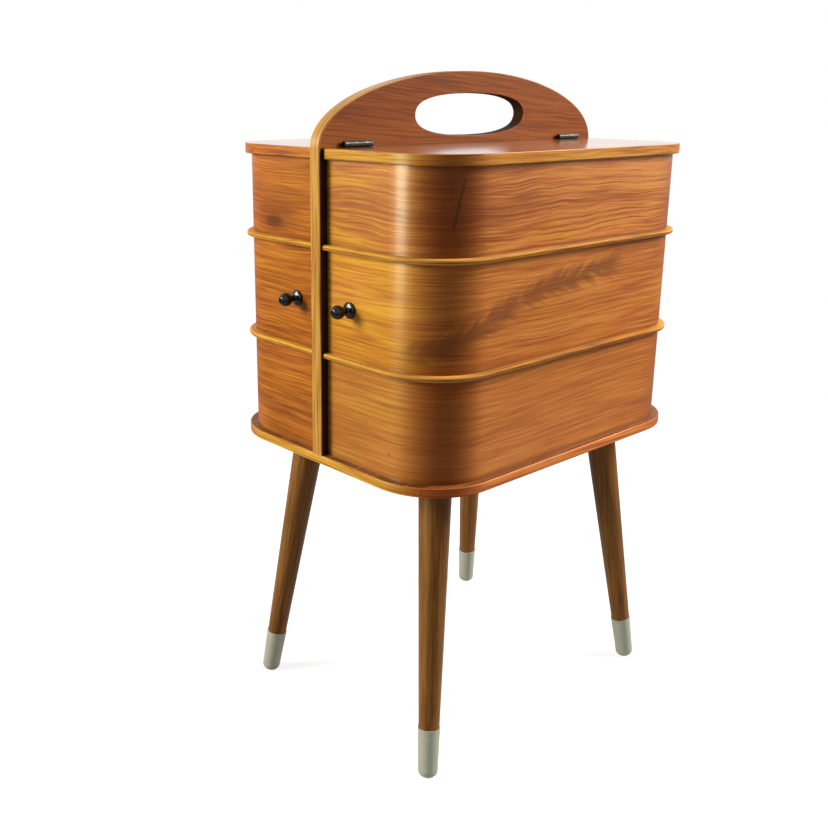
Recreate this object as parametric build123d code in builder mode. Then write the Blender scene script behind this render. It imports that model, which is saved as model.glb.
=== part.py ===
"""Free-standing sewing carrier: two hinged lids, three tiers of bent-plywood trays on each side of a
central panel that rises into an arched handle, and four splayed legs with plastic caps.

Frame: X across the panel, Y along the panel with the knobs at -Y, Z up, floor at Z = 0.
The origin is the middle of the overall footprint, on the floor. Millimetres.
"""

import os
from math import cos, hypot, pi, radians, sin

from build123d import *

os.makedirs("parts", exist_ok=True)

# ---------------------------------------------------------------- driving dimensions
# Trays, measured outside their bent walls
carrier_width = 300.0  # across both trays and the panel
tray_length = 386.0
corner_radius = 60.0
wall_thick = 5.0
floor_thick = 5.0
deep_wall_height = 98.0  # bottom and middle tiers
top_wall_height = 77.3
bead_reach = 6.5  # how far a floor's rounded rim stands out of the wall
bead_round = 2.0
tier_gap = 0.3  # running gap between one tray's rim and the floor above it

# Central panel and its arched handle
panel_thick = 13.5
panel_proud = 0.5  # how far the panel's ends stand out past the base
arch_rise = 70.3  # top of the arch above the lids
hand_hole_length = 161.0
hand_hole_height = 41.0
hand_hole_centre_rise = 28.2  # above the lids
hand_hole_fullness = 2.5  # superellipse exponent, 2 is an ellipse
hand_hole_points = 24
edge_round = 0.8
band_thick = 1.2  # solid-wood edge bands

# Base
base_thick = 9.0
base_reach = 8.5  # how far the base stands out of the bottom walls
base_band_seam_angle = 54.0  # butt seam of the base band, on the near right corner
base_band_seam = 0.3

# Lids and their hinges
lid_thick = 9.8
lid_reach = 4.5  # how far a lid stands out of the walls
lid_panel_gap = 1.5
lid_seat_gap = 0.2
hinge_length = 35.0
hinge_inset = 39.5  # from a lid's end to a hinge's middle
barrel_radius = 2.7
barrel_clearance = 0.3  # barrel to the lid's top and to the panel's face
knuckle_count = 5
knuckle_gap = 0.2
hinge_pin_radius = 1.2
leaf_thick = 0.9
leaf_edge_margin = 1.0  # leaf's lower edge above the lid's lower face
hinge_screw_spacing = 22.0
hinge_screw_radius = 1.0
hinge_screw_head_radius = 1.8
hinge_screw_length = 6.0

# Swinging middle trays
pivot_inset = 21.0  # rod's axis to the panel's face
swing_gap = 0.4  # swinging tray to the panel's face
rod_radius = 3.0
rod_in_base = 6.0
bush_radius = 4.5
bush_bore_clearance = 0.06
bush_length = 16.0
rod_relief = 0.5  # radial room around the rod between the bushes
collar_radius = 7.0
collar_height = 8.0
collar_gap = 0.2
nut_width = 10.0
nut_height = 5.0
nut_dome_radius = 4.3
nut_dome_flat = 0.5  # radius of the flat left on top of the dome
rod_chamfer = 0.5
block_reach = 12.0  # pivot block beyond the rod's axis
fit_clearance = 0.05

# Knobs
knob_offset = 39.0
knob_rise = 46.2  # above the foot of the middle tray's wall
knob_length = 21.0
knob_rose_radius = 7.75
knob_rose_thick = 1.8
knob_neck_radius = 3.2
knob_neck_start = 4.6
knob_neck_end = 8.6
knob_head_radius = 6.6
knob_head_to_face = 5.6  # widest part of the head to its face
knob_face_radius = 2.6
knob_screw_radius = 1.75
knob_screw_depth = 12.0
knob_screw_head_radius = 4.0
knob_screw_head_height = 2.4
knob_screw_head_round = 0.8

# Legs
leg_height = 302.5  # floor to the base's underside
leg_inset_x = 55.7  # from the walls in to the top of a leg's axis
leg_inset_y = 61.4
leg_splay_x = 36.0  # how far a foot stands outside the top of its leg
leg_splay_y = 38.2
leg_top_radius = 16.6
leg_foot_radius = 9.2
leg_top_drop = 6.0
cap_length = 51.0
cap_wall = 0.7
cap_floor = 3.0
cap_round = 7.0
leg_end_chamfer = 3.5
plate_side = 60.0
plate_thick = 2.0
plate_corner = 6.0
plate_boss_radius = 15.0
bolt_radius = 4.0
bolt_in_leg = 35.0
bolt_in_boss = 3.5
bolt_chamfer = 0.7

# Wood screws
screw_radius = 1.8
screw_head_radius = 3.4
screw_head_depth = 2.0
plate_screw_spacing = 44.0
plate_screw_length = 8.5
panel_screw_offsets = (-150.0, -50.0, 50.0, 150.0)
panel_screw_length = 38.0
board_screw_offsets = (-120.0, 0.0, 120.0)
board_screw_length = 11.0
board_screw_stagger = 24.0  # keeps the two sides' screws apart inside the panel

# ---------------------------------------------------------------- derived places
SIDES = {"left": -1, "right": 1}
panel_half = panel_thick / 2
wall_face_x = carrier_width / 2
half_length = tray_length / 2
panel_length = tray_length + 2 * (base_reach + panel_proud)
hinge_offset = half_length + lid_reach - hinge_inset
middle_y = (half_length + knob_length - panel_length / 2) / 2

leg_top_x = wall_face_x - leg_inset_x
leg_top_y = half_length - leg_inset_y

base_bottom = leg_height
base_top = base_bottom + base_thick
low_rim = base_top + deep_wall_height
middle_floor = low_rim + tier_gap
middle_wall = middle_floor + floor_thick
knob_height = middle_wall + knob_rise
middle_rim = middle_wall + deep_wall_height
top_floor = middle_rim + tier_gap
top_wall = top_floor + floor_thick
top_rim = top_wall + top_wall_height
lid_bottom = top_rim + lid_seat_gap
lid_top = lid_bottom + lid_thick

pivot_x = panel_half + pivot_inset
swing_reach = pivot_inset - swing_gap
pivot_y = half_length + bead_reach - swing_reach
hook_radius = half_length - pivot_y

hinge_x = panel_half + barrel_clearance + barrel_radius
hinge_z = lid_top + barrel_clearance + barrel_radius
knuckle_pitch = hinge_length / knuckle_count
leaf_bottom = lid_bottom + leaf_edge_margin
leaf_height = lid_top - leaf_bottom
lid_edge_x = panel_half + lid_panel_gap


def level(height, x=0.0, y=0.0):
    """Horizontal plane at a height above the floor; x and y count from the middle of the trays."""
    return Plane(origin=(x, middle_y + y, height))


def finish(part, name):
    """Label a finished piece and write it."""
    part.part.label = name
    export_step(part.part, f"parts/{name}.step")


# ---------------------------------------------------------------- screws
def screw_section(origin, outward, side_dir, shank_radius, head_radius, head_depth, length):
    """Half section of a countersunk screw, its head flush with origin and facing outward."""
    across = Vector(side_dir)
    plane = Plane(origin=origin, x_dir=across, z_dir=across.cross(Vector(outward)))
    with BuildSketch(plane) as section:
        with BuildLine():
            Polyline(
                (0, 0),
                (0, -length),
                (shank_radius, shank_radius - length),
                (shank_radius, -head_depth),
                (head_radius, 0),
                close=True,
            )
        make_face()
    return section.sketch


def add_screw(origin, outward, side_dir, *sizes):
    """Add a countersunk screw to the current part."""
    section = screw_section(origin, outward, side_dir, *sizes)
    revolve(section, axis=Axis(origin, outward), revolution_arc=360)


def cut_screw_hole(origin, outward, side_dir, shank_radius, head_radius, head_depth, length):
    """Cut the hole that add_screw's screw fills from the current part."""
    section = screw_section(
        origin,
        outward,
        side_dir,
        shank_radius + fit_clearance,
        head_radius + fit_clearance,
        head_depth,
        length + fit_clearance,
    )
    revolve(section, axis=Axis(origin, outward), revolution_arc=360, mode=Mode.SUBTRACT)


WOOD_SCREW = (screw_radius, screw_head_radius, screw_head_depth)
HINGE_SCREW = (hinge_screw_radius, hinge_screw_head_radius, leaf_thick, hinge_screw_length)

# Directions
UP = (0, 0, 1)
DOWN = (0, 0, -1)
ALONG = (0, 1, 0)
ACROSS = (1, 0, 0)


def hinge_screw_places(face_x, side):
    """Screws of a side's two leaves, on the leaf's face at face_x."""
    return [
        (
            side * face_x,
            middle_y + end * hinge_offset + turn * hinge_screw_spacing / 2,
            leaf_bottom + leaf_height / 2,
        )
        for end in (-1, 1)
        for turn in (-1, 1)
    ]


# ---------------------------------------------------------------- tray shapes
def rounded_plan(side, height, inner, outer, half, outer_radius, hook=0.0):
    """Plan of a tray, floor or lid on one side: large outer corners, and a small far inner one if asked."""
    with BuildSketch(level(height)) as plan:
        with Locations((side * (inner + outer) / 2, 0)):
            Rectangle(outer - inner, 2 * half)
        outward = Axis((0, 0, 0), (side, 0, 0))
        fillet(plan.vertices().sort_by(outward)[2:], outer_radius)
        if hook:
            fillet(plan.vertices().sort_by(outward)[:2].sort_by(Axis.Y)[-1], hook)
    return plan.sketch


def wall_plan(side, height, gap, inset):
    """Plan of a tray, inset from the outside of its bent wall."""
    return rounded_plan(
        side,
        height,
        panel_half + gap + inset,
        wall_face_x - inset,
        half_length - inset,
        corner_radius - inset,
        hook_radius - inset,
    )


def inner_board_sketch(side, height, gap):
    """Section of the straight board that closes a tray beside the panel."""
    near = wall_thick - half_length
    with BuildSketch(level(height, side * (panel_half + gap + wall_thick / 2), near)) as section:
        Rectangle(wall_thick, pivot_y - near, align=(Align.CENTER, Align.MIN))
    return section.sketch


def make_wall(side, bottom, height, gap, knob_hole=False):
    """Bent wall: near end, long side, far end and the small hook round the pivot corner."""
    with BuildPart() as wall:
        extrude(wall_plan(side, bottom, gap, 0), amount=height)
        extrude(wall_plan(side, bottom, gap, wall_thick), amount=height, mode=Mode.SUBTRACT)
        extrude(inner_board_sketch(side, bottom, gap), amount=height, mode=Mode.SUBTRACT)
        if knob_hole:
            with BuildSketch(knob_plane(side)):
                Circle(knob_screw_radius + fit_clearance)
            extrude(amount=-wall_thick, mode=Mode.SUBTRACT)
    return wall


def board_screw_places(side, bottom, height):
    """Screws through a fixed tray's inner board into the panel, heads inside the tray."""
    stagger = side * board_screw_stagger / 2
    face = side * (panel_half + wall_thick)
    return [(face, middle_y + y + stagger, bottom + height / 2) for y in board_screw_offsets]


def make_inner_board(side, bottom, height, gap, screwed):
    """Straight board that closes a tray beside the panel, screwed through it on a fixed tray."""
    with BuildPart() as board:
        extrude(inner_board_sketch(side, bottom, gap), amount=height)
        if screwed:
            for place in board_screw_places(side, bottom, height):
                cut_screw_hole(place, (side, 0, 0), ALONG, *WOOD_SCREW, board_screw_length)
    return board


def make_floor(side, bottom, hole_radius):
    """Floor board whose rounded rim stands out of the wall as a bead, with a round pivot corner."""
    inner = panel_half + swing_gap
    outer = wall_face_x + bead_reach
    half = half_length + bead_reach
    axis_place = (side * pivot_x, middle_y + pivot_y, bottom)
    with BuildPart() as board:
        extrude(
            rounded_plan(side, bottom, inner, outer, half, corner_radius + bead_reach),
            amount=floor_thick,
        )
        ends = board.faces().filter_by(Axis.Z)
        rim = ends.edges().filter_by(lambda e: abs(e.center().X) > inner + bead_round)
        fillet(rim, bead_round)
        with BuildSketch(level(bottom, side * pivot_x, pivot_y)):
            with Locations((-side * swing_reach / 2, swing_reach / 2)):
                Rectangle(swing_reach, swing_reach)
        extrude(amount=floor_thick, mode=Mode.SUBTRACT)
        with BuildSketch(Plane(origin=axis_place, x_dir=ALONG, z_dir=ACROSS)) as rim_section:
            Rectangle(swing_reach, floor_thick, align=(Align.MIN, Align.MIN))
            fillet(rim_section.vertices().group_by(Axis.X)[-1], bead_round)
        revolve(axis=Axis(axis_place, (0, 0, side)), revolution_arc=90)
        with BuildSketch(level(bottom, side * pivot_x, pivot_y)):
            Circle(hole_radius)
        extrude(amount=floor_thick, mode=Mode.SUBTRACT)
    return board


# ---------------------------------------------------------------- base
def base_plan(grow):
    """Plan of the base, grown or shrunk from the bottom trays' walls."""
    with BuildSketch(level(base_bottom)) as plan:
        RectangleRounded(
            carrier_width + 2 * grow,
            tray_length + 2 * grow,
            corner_radius + grow,
        )
    return plan.sketch


def plate_screw_places():
    """Screws of the four leg plates, from below."""
    reach = plate_screw_spacing / 2
    return [
        (sx * leg_top_x + dx, middle_y + sy * leg_top_y + dy, base_bottom - plate_thick)
        for sx in (-1, 1)
        for sy in (-1, 1)
        for dx in (-reach, reach)
        for dy in (-reach, reach)
    ]


def panel_screw_places():
    """Screws up through the base into the panel's lower edge."""
    return [(0, middle_y + y, base_bottom) for y in panel_screw_offsets]


with BuildPart() as base_plate:
    extrude(base_plan(base_reach - band_thick), amount=base_thick)
    for place in plate_screw_places():
        cut_screw_hole(place, DOWN, ACROSS, *WOOD_SCREW, plate_screw_length)
    for place in panel_screw_places():
        cut_screw_hole(place, DOWN, ACROSS, *WOOD_SCREW, panel_screw_length)
    for side in SIDES.values():
        with BuildSketch(level(base_top, side * pivot_x, pivot_y)):
            Circle(rod_radius + fit_clearance)
        extrude(amount=-rod_in_base, mode=Mode.SUBTRACT)
finish(base_plate, "base_plate")

with BuildPart() as base_band:
    extrude(base_plan(base_reach), amount=base_thick)
    fillet(base_band.faces().filter_by(Axis.Z).edges(), edge_round)
    extrude(base_plan(base_reach - band_thick), amount=base_thick, mode=Mode.SUBTRACT)
    seam_turn = radians(base_band_seam_angle)
    seam_radius = corner_radius + base_reach - band_thick / 2
    seam_x = wall_face_x - corner_radius + seam_radius * cos(seam_turn)
    seam_y = -(half_length - corner_radius + seam_radius * sin(seam_turn))
    with BuildSketch(level(base_bottom, seam_x, seam_y)):
        Rectangle(2 * band_thick, base_band_seam, rotation=-base_band_seam_angle)
    extrude(amount=base_thick, mode=Mode.SUBTRACT)
finish(base_band, "base_edge_band")


# ---------------------------------------------------------------- central panel
def panel_outline(inset):
    """The panel's upright shape: straight sides up to the lids, then half an ellipse."""
    upright = Plane(origin=(-panel_half, middle_y, 0), x_dir=ALONG, z_dir=ACROSS)
    with BuildSketch(upright) as outline:
        with Locations((0, lid_top)):
            Ellipse(panel_length / 2 - inset, arch_rise - inset)
        with Locations((0, (base_top + lid_top) / 2)):
            Rectangle(panel_length - 2 * inset, lid_top - base_top)
        with Locations((0, base_top)):
            Rectangle(panel_length, lid_top, align=(Align.CENTER, Align.MAX), mode=Mode.SUBTRACT)
    return outline.sketch


def hand_hole_point(turn):
    """Point of the hand hole's superellipse at a turn in radians."""
    power = 2 / hand_hole_fullness
    reach_y = abs(cos(turn)) ** power * (1 if cos(turn) > 0 else -1)
    reach_z = abs(sin(turn)) ** power * (1 if sin(turn) > 0 else -1)
    return (hand_hole_length / 2 * reach_y, hand_hole_height / 2 * reach_z)


with BuildPart() as central_panel:
    extrude(panel_outline(band_thick), amount=panel_thick)
    hole_plane = Plane(
        origin=(-panel_half, middle_y, lid_top + hand_hole_centre_rise),
        x_dir=ALONG,
        z_dir=ACROSS,
    )
    with BuildSketch(hole_plane) as hand_hole:
        with BuildLine():
            turns = [2 * pi * (n + 0.5) / hand_hole_points for n in range(hand_hole_points)]
            Spline([hand_hole_point(turn) for turn in turns], periodic=True)
        make_face()
    extrude(hand_hole.sketch, amount=panel_thick, mode=Mode.SUBTRACT)
    sides = central_panel.faces().filter_by(Axis.X)
    hole_edges = [edge for face in sides for wire in face.inner_wires() for edge in wire.edges()]
    fillet(hole_edges, edge_round)
    for place in panel_screw_places():
        cut_screw_hole(place, DOWN, ACROSS, *WOOD_SCREW, panel_screw_length)
    for side in SIDES.values():
        low_places = board_screw_places(side, base_top, deep_wall_height)
        top_places = board_screw_places(side, top_wall, top_wall_height)
        for place in low_places + top_places:
            cut_screw_hole(place, (side, 0, 0), ALONG, *WOOD_SCREW, board_screw_length)
        for place in hinge_screw_places(panel_half + leaf_thick, side):
            cut_screw_hole(place, (side, 0, 0), ALONG, *HINGE_SCREW)
finish(central_panel, "central_panel")

with BuildPart() as panel_band:
    extrude(panel_outline(0), amount=panel_thick)
    outer_faces = panel_band.faces().filter_by(Axis.X)
    arch_edges = outer_faces.edges().filter_by(lambda e: e.center().Z > base_top + edge_round)
    fillet(arch_edges, edge_round)
    extrude(panel_outline(band_thick), amount=panel_thick, mode=Mode.SUBTRACT)
finish(panel_band, "panel_edge_band")


# ---------------------------------------------------------------- fixed trays
for side_name, side in SIDES.items():
    wall = make_wall(side, base_top, deep_wall_height, 0.0)
    finish(wall, f"bottom_wall_{side_name}")
    inner_board = make_inner_board(side, base_top, deep_wall_height, 0.0, screwed=True)
    finish(inner_board, f"bottom_inner_board_{side_name}")
    tray_floor = make_floor(side, top_floor, rod_radius + fit_clearance)
    finish(tray_floor, f"top_floor_{side_name}")
    wall = make_wall(side, top_wall, top_wall_height, 0.0)
    finish(wall, f"top_wall_{side_name}")
    inner_board = make_inner_board(side, top_wall, top_wall_height, 0.0, screwed=True)
    finish(inner_board, f"top_inner_board_{side_name}")

with BuildPart() as board_screws:
    for side in SIDES.values():
        low_places = board_screw_places(side, base_top, deep_wall_height)
        top_places = board_screw_places(side, top_wall, top_wall_height)
        for place in low_places + top_places:
            add_screw(place, (side, 0, 0), ALONG, *WOOD_SCREW, board_screw_length)
finish(board_screws, "board_screws")

with BuildPart() as panel_screws:
    for place in panel_screw_places():
        add_screw(place, DOWN, ACROSS, *WOOD_SCREW, panel_screw_length)
finish(panel_screws, "panel_screws")


# ---------------------------------------------------------------- knobs
def knob_plane(side):
    """Plane on the near face of a middle tray, facing out, at the knob's axis."""
    return Plane(
        origin=(side * knob_offset, middle_y - half_length, knob_height),
        x_dir=ACROSS,
        z_dir=(0, -1, 0),
    )


def knob_section_plane(side):
    """Plane through the knob's axis: x runs out along the axis, y is radial."""
    return Plane(
        origin=(side * knob_offset, middle_y - half_length, knob_height),
        x_dir=(0, -1, 0),
        z_dir=UP,
    )


def knob_axis(side):
    """The knob's axis, pointing out of the wall."""
    return Axis((side * knob_offset, middle_y - half_length, knob_height), (0, -1, 0))


def make_knob(side):
    """Turned knob: a flat rose, a waisted neck and a round head, bored from behind for its screw."""
    bore_radius = knob_screw_radius + fit_clearance
    head_middle = knob_length - knob_head_to_face
    rose_foot = (knob_rose_thick, knob_rose_radius)
    with BuildSketch(knob_section_plane(side)) as section:
        with BuildLine():
            Polyline(
                (knob_length, 0),
                (knob_screw_depth, 0),
                (knob_screw_depth, bore_radius),
                (0, bore_radius),
                (0, knob_rose_radius),
                rose_foot,
            )
            Spline(
                rose_foot,
                (knob_neck_start, knob_neck_radius),
                (knob_neck_end, knob_neck_radius),
                tangents=[(1, -1), (1, 0)],
            )
            ThreePointArc(
                (knob_neck_end, knob_neck_radius),
                (head_middle, knob_head_radius),
                (knob_length, knob_face_radius),
            )
            Line((knob_length, knob_face_radius), (knob_length, 0))
        make_face()
    with BuildPart() as knob:
        revolve(section.sketch, axis=knob_axis(side), revolution_arc=360)
    return knob


def make_knob_screw(side):
    """Pan-head machine screw from inside the tray into the knob."""
    inside = Plane(
        origin=(side * knob_offset, middle_y - half_length + wall_thick, knob_height),
        x_dir=ACROSS,
        z_dir=ALONG,
    )
    with BuildPart() as screw:
        with BuildSketch(inside):
            Circle(knob_screw_radius)
        extrude(amount=-(wall_thick + knob_screw_depth - knob_screw_radius))
        with BuildSketch(inside):
            Circle(knob_screw_head_radius)
        extrude(amount=knob_screw_head_height)
        fillet(screw.faces().sort_by(Axis.Y)[-1].edges(), knob_screw_head_round)
    return screw


# ---------------------------------------------------------------- swinging middle trays
def make_pivot_block(side):
    """Wooden post that fills the tray's pivot corner, bored for the rod and its two bushes."""
    pivot = (side * pivot_x, pivot_y)
    with BuildPart() as block:
        extrude(wall_plan(side, middle_wall, swing_gap, wall_thick), amount=deep_wall_height)
        with BuildSketch(level(middle_wall, *pivot)):
            Rectangle(2 * block_reach, 2 * block_reach)
        extrude(amount=deep_wall_height, mode=Mode.INTERSECT)
        with BuildSketch(level(middle_wall, *pivot)):
            Circle(rod_radius + rod_relief)
        extrude(amount=deep_wall_height, mode=Mode.SUBTRACT)
        with BuildSketch(level(middle_wall, *pivot)):
            Circle(bush_radius)
        extrude(amount=bush_length - floor_thick, mode=Mode.SUBTRACT)
        with BuildSketch(level(middle_rim, *pivot)):
            Circle(bush_radius)
        extrude(amount=-bush_length, mode=Mode.SUBTRACT)
    return block


def make_bushes(side):
    """Two brass bushes: one through the floor into the block, one at the block's top."""
    with BuildPart() as bushes:
        for foot in (middle_floor, middle_rim - bush_length):
            with BuildSketch(level(foot, side * pivot_x, pivot_y)):
                Circle(bush_radius)
                Circle(rod_radius + bush_bore_clearance, mode=Mode.SUBTRACT)
            extrude(amount=bush_length)
    return bushes


for side_name, side in SIDES.items():
    wall = make_wall(side, middle_wall, deep_wall_height, swing_gap, knob_hole=True)
    finish(wall, f"middle_wall_{side_name}")
    inner_board = make_inner_board(side, middle_wall, deep_wall_height, swing_gap, screwed=False)
    finish(inner_board, f"middle_inner_board_{side_name}")
    tray_floor = make_floor(side, middle_floor, bush_radius)
    finish(tray_floor, f"middle_floor_{side_name}")
    finish(make_pivot_block(side), f"pivot_block_{side_name}")
    finish(make_bushes(side), f"pivot_bushes_{side_name}")
    finish(make_knob(side), f"knob_{side_name}")
    finish(make_knob_screw(side), f"knob_screw_{side_name}")

for side_name, side in SIDES.items():
    with BuildPart() as rod:
        with BuildSketch(level(base_top - rod_in_base, side * pivot_x, pivot_y)):
            Circle(rod_radius)
        extrude(amount=top_wall + nut_height - base_top + rod_in_base)
        chamfer(rod.edges().filter_by(GeomType.CIRCLE), rod_chamfer)
    finish(rod, f"pivot_rod_{side_name}")

with BuildPart() as rod_collars:
    for side in SIDES.values():
        with BuildSketch(level(middle_floor - collar_gap, side * pivot_x, pivot_y)):
            Circle(collar_radius)
            Circle(rod_radius + fit_clearance, mode=Mode.SUBTRACT)
        extrude(amount=-collar_height)
finish(rod_collars, "rod_collars")

with BuildPart() as rod_nuts:
    for side in SIDES.values():
        foot = (side * pivot_x, middle_y + pivot_y, top_wall)
        with BuildSketch(level(top_wall, side * pivot_x, pivot_y)):
            RegularPolygon(nut_width / 2, 6, major_radius=False)
        extrude(amount=nut_height)
        with BuildSketch(level(top_wall + nut_height, side * pivot_x, pivot_y)):
            Circle(nut_dome_radius)
        extrude(amount=nut_dome_radius)
    fillet(rod_nuts.faces().group_by(Axis.Z)[-1].edges(), nut_dome_radius - nut_dome_flat)
    for side in SIDES.values():
        with BuildSketch(level(top_wall, side * pivot_x, pivot_y)):
            Circle(rod_radius + fit_clearance)
        extrude(amount=nut_height + fit_clearance, mode=Mode.SUBTRACT)
finish(rod_nuts, "rod_nuts")


# ---------------------------------------------------------------- lids
def lid_plan(side, grow, height):
    """Plan of a lid, its three outer sides grown from the walls below."""
    radius = corner_radius - lid_reach + grow
    return rounded_plan(
        side,
        height,
        panel_half + lid_panel_gap,
        wall_face_x + grow,
        half_length + grow,
        radius,
    )


for side_name, side in SIDES.items():
    inward = (-side, 0, 0)
    with BuildPart() as lid_board:
        extrude(lid_plan(side, lid_reach - band_thick, lid_bottom), amount=lid_thick)
        for end in (-1, 1):
            pocket = level(leaf_bottom, side * (lid_edge_x + leaf_thick / 2), end * hinge_offset)
            with BuildSketch(pocket):
                Rectangle(leaf_thick, hinge_length)
            extrude(amount=leaf_height, mode=Mode.SUBTRACT)
        for place in hinge_screw_places(lid_edge_x, side):
            cut_screw_hole(place, inward, ALONG, *HINGE_SCREW)
    finish(lid_board, f"lid_board_{side_name}")

    with BuildPart() as lid_band:
        extrude(lid_plan(side, lid_reach, lid_bottom), amount=lid_thick)
        ends = lid_band.faces().filter_by(Axis.Z)
        fillet(ends.edges().filter_by(lambda e: abs(e.center().X) > lid_edge_x + band_thick), edge_round)
        extrude(
            lid_plan(side, lid_reach - band_thick, lid_bottom),
            amount=lid_thick,
            mode=Mode.SUBTRACT,
        )
    finish(lid_band, f"lid_edge_band_{side_name}")


# ---------------------------------------------------------------- hinges
def add_leaf(side, end, face_x, knuckles):
    """Add one leaf: a plate beside the gap, and tabs that carry the given knuckles on the barrel's axis."""
    start = end * hinge_offset - hinge_length / 2
    middle_x = side * (face_x + leaf_thick / 2)
    with BuildSketch(level(leaf_bottom, middle_x, end * hinge_offset)) as plate:
        Rectangle(leaf_thick, hinge_length)
    extrude(plate.sketch, amount=leaf_height)
    width = knuckle_pitch - knuckle_gap
    for n in knuckles:
        middle = start + (n + 0.5) * knuckle_pitch
        with BuildSketch(level(lid_top, middle_x, middle)) as tab:
            Rectangle(leaf_thick, width)
        extrude(tab.sketch, amount=hinge_z - lid_top)
        knuckle_end = Plane(
            origin=(side * hinge_x, middle_y + middle - width / 2, hinge_z),
            x_dir=ACROSS,
            z_dir=ALONG,
        )
        with BuildSketch(knuckle_end) as knuckle:
            Circle(barrel_radius)
        extrude(knuckle.sketch, amount=width)


def pin_sketch(side, end, radius):
    """Circle on a hinge's axis, at the near end of its barrel."""
    near_end = Plane(
        origin=(side * hinge_x, middle_y + end * hinge_offset - hinge_length / 2, hinge_z),
        x_dir=ACROSS,
        z_dir=ALONG,
    )
    with BuildSketch(near_end) as circle:
        Circle(radius)
    return circle.sketch


LEAVES = {
    "panel": (panel_half, range(0, knuckle_count, 2)),
    "lid": (lid_edge_x, range(1, knuckle_count, 2)),
}

for side_name, side in SIDES.items():
    for leaf_name, (face_x, knuckles) in LEAVES.items():
        outward = (side, 0, 0) if leaf_name == "panel" else (-side, 0, 0)
        screw_face = face_x + leaf_thick if leaf_name == "panel" else face_x
        with BuildPart() as leaves:
            for end in (-1, 1):
                add_leaf(side, end, face_x, knuckles)
                bore = pin_sketch(side, end, hinge_pin_radius + fit_clearance)
                extrude(bore, amount=hinge_length, mode=Mode.SUBTRACT)
            for place in hinge_screw_places(screw_face, side):
                cut_screw_hole(place, outward, ALONG, *HINGE_SCREW)
        finish(leaves, f"hinge_{leaf_name}_leaves_{side_name}")

    with BuildPart() as lid_screws:
        for place in hinge_screw_places(lid_edge_x, side):
            add_screw(place, (-side, 0, 0), ALONG, *HINGE_SCREW)
    finish(lid_screws, f"hinge_lid_screws_{side_name}")

with BuildPart() as hinge_panel_screws:
    for side in SIDES.values():
        for place in hinge_screw_places(panel_half + leaf_thick, side):
            add_screw(place, (side, 0, 0), ALONG, *HINGE_SCREW)
finish(hinge_panel_screws, "hinge_panel_screws")

with BuildPart() as hinge_pins:
    for side in SIDES.values():
        for end in (-1, 1):
            extrude(pin_sketch(side, end, hinge_pin_radius), amount=hinge_length)
finish(hinge_pins, "hinge_pins")


# ---------------------------------------------------------------- legs
leg_axis_length = hypot(leg_splay_x, leg_splay_y, leg_height)
leg_length = leg_axis_length * (1 - leg_top_drop / leg_height)
leg_slope = (leg_top_radius - leg_foot_radius) / leg_length


def leg_plane(sx, sy, along):
    """Plane square to a leg's axis, at a distance up the axis from the floor, facing up."""
    up = Vector(-sx * leg_splay_x, -sy * leg_splay_y, leg_height).normalized()
    foot_x = leg_top_x + leg_splay_x
    foot_y = leg_top_y + leg_splay_y
    foot = Vector(sx * foot_x, middle_y + sy * foot_y, 0)
    sideways = Vector(-sy * leg_splay_y, sx * leg_splay_x, 0)
    return Plane(origin=foot + up * along, x_dir=sideways, z_dir=up)


def leg_radius(along):
    """Radius of a leg's wood at a distance up its axis from the floor."""
    return leg_foot_radius + leg_slope * along


def leg_section_plane(sx, sy):
    """Plane through a leg's axis: x is radial, y runs up the axis from the floor."""
    square = leg_plane(sx, sy, 0)
    return Plane(origin=square.origin, x_dir=square.x_dir, z_dir=square.x_dir.cross(square.z_dir))


LEGS = {
    "front_left": (-1, -1),
    "front_right": (1, -1),
    "back_left": (-1, 1),
    "back_right": (1, 1),
}

for leg_name, (sx, sy) in LEGS.items():
    leg_axis = Axis(leg_plane(sx, sy, 0).origin, leg_plane(sx, sy, 0).z_dir)
    bore_radius = bolt_radius + fit_clearance
    bore_end = leg_length - bolt_in_leg - fit_clearance
    with BuildPart() as leg:
        with BuildSketch(leg_section_plane(sx, sy)) as leg_section:
            with BuildLine():
                Polyline(
                    (0, cap_floor),
                    (leg_radius(cap_floor) - leg_end_chamfer, cap_floor),
                    (leg_radius(cap_round), cap_round),
                    (leg_radius(leg_length), leg_length),
                    (bore_radius, leg_length),
                    (bore_radius, bore_end),
                    (0, bore_end),
                    close=True,
                )
            make_face()
        revolve(leg_section.sketch, axis=leg_axis, revolution_arc=360)
    finish(leg, f"leg_{leg_name}")

    cap_side = leg_radius(0) + cap_wall
    round_middle = cap_round * (1 - cos(radians(45)))
    with BuildPart() as cap:
        with BuildSketch(leg_section_plane(sx, sy)) as cap_section:
            with BuildLine():
                Line((0, 0), (cap_side - cap_round, 0))
                ThreePointArc(
                    (cap_side - cap_round, 0),
                    (cap_side - round_middle, round_middle),
                    (cap_side, cap_round),
                )
                Polyline(
                    (cap_side, cap_round),
                    (leg_radius(cap_length) + cap_wall, cap_length),
                    (leg_radius(cap_length) + fit_clearance, cap_length),
                    (leg_radius(cap_round) + fit_clearance, cap_round),
                    (leg_radius(cap_floor) - leg_end_chamfer, cap_floor - fit_clearance),
                    (0, cap_floor - fit_clearance),
                    (0, 0),
                )
            make_face()
        revolve(cap_section.sketch, axis=leg_axis, revolution_arc=360)
        split(bisect_by=Plane.XY, keep=Keep.TOP)
    finish(cap, f"foot_cap_{leg_name}")

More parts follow.
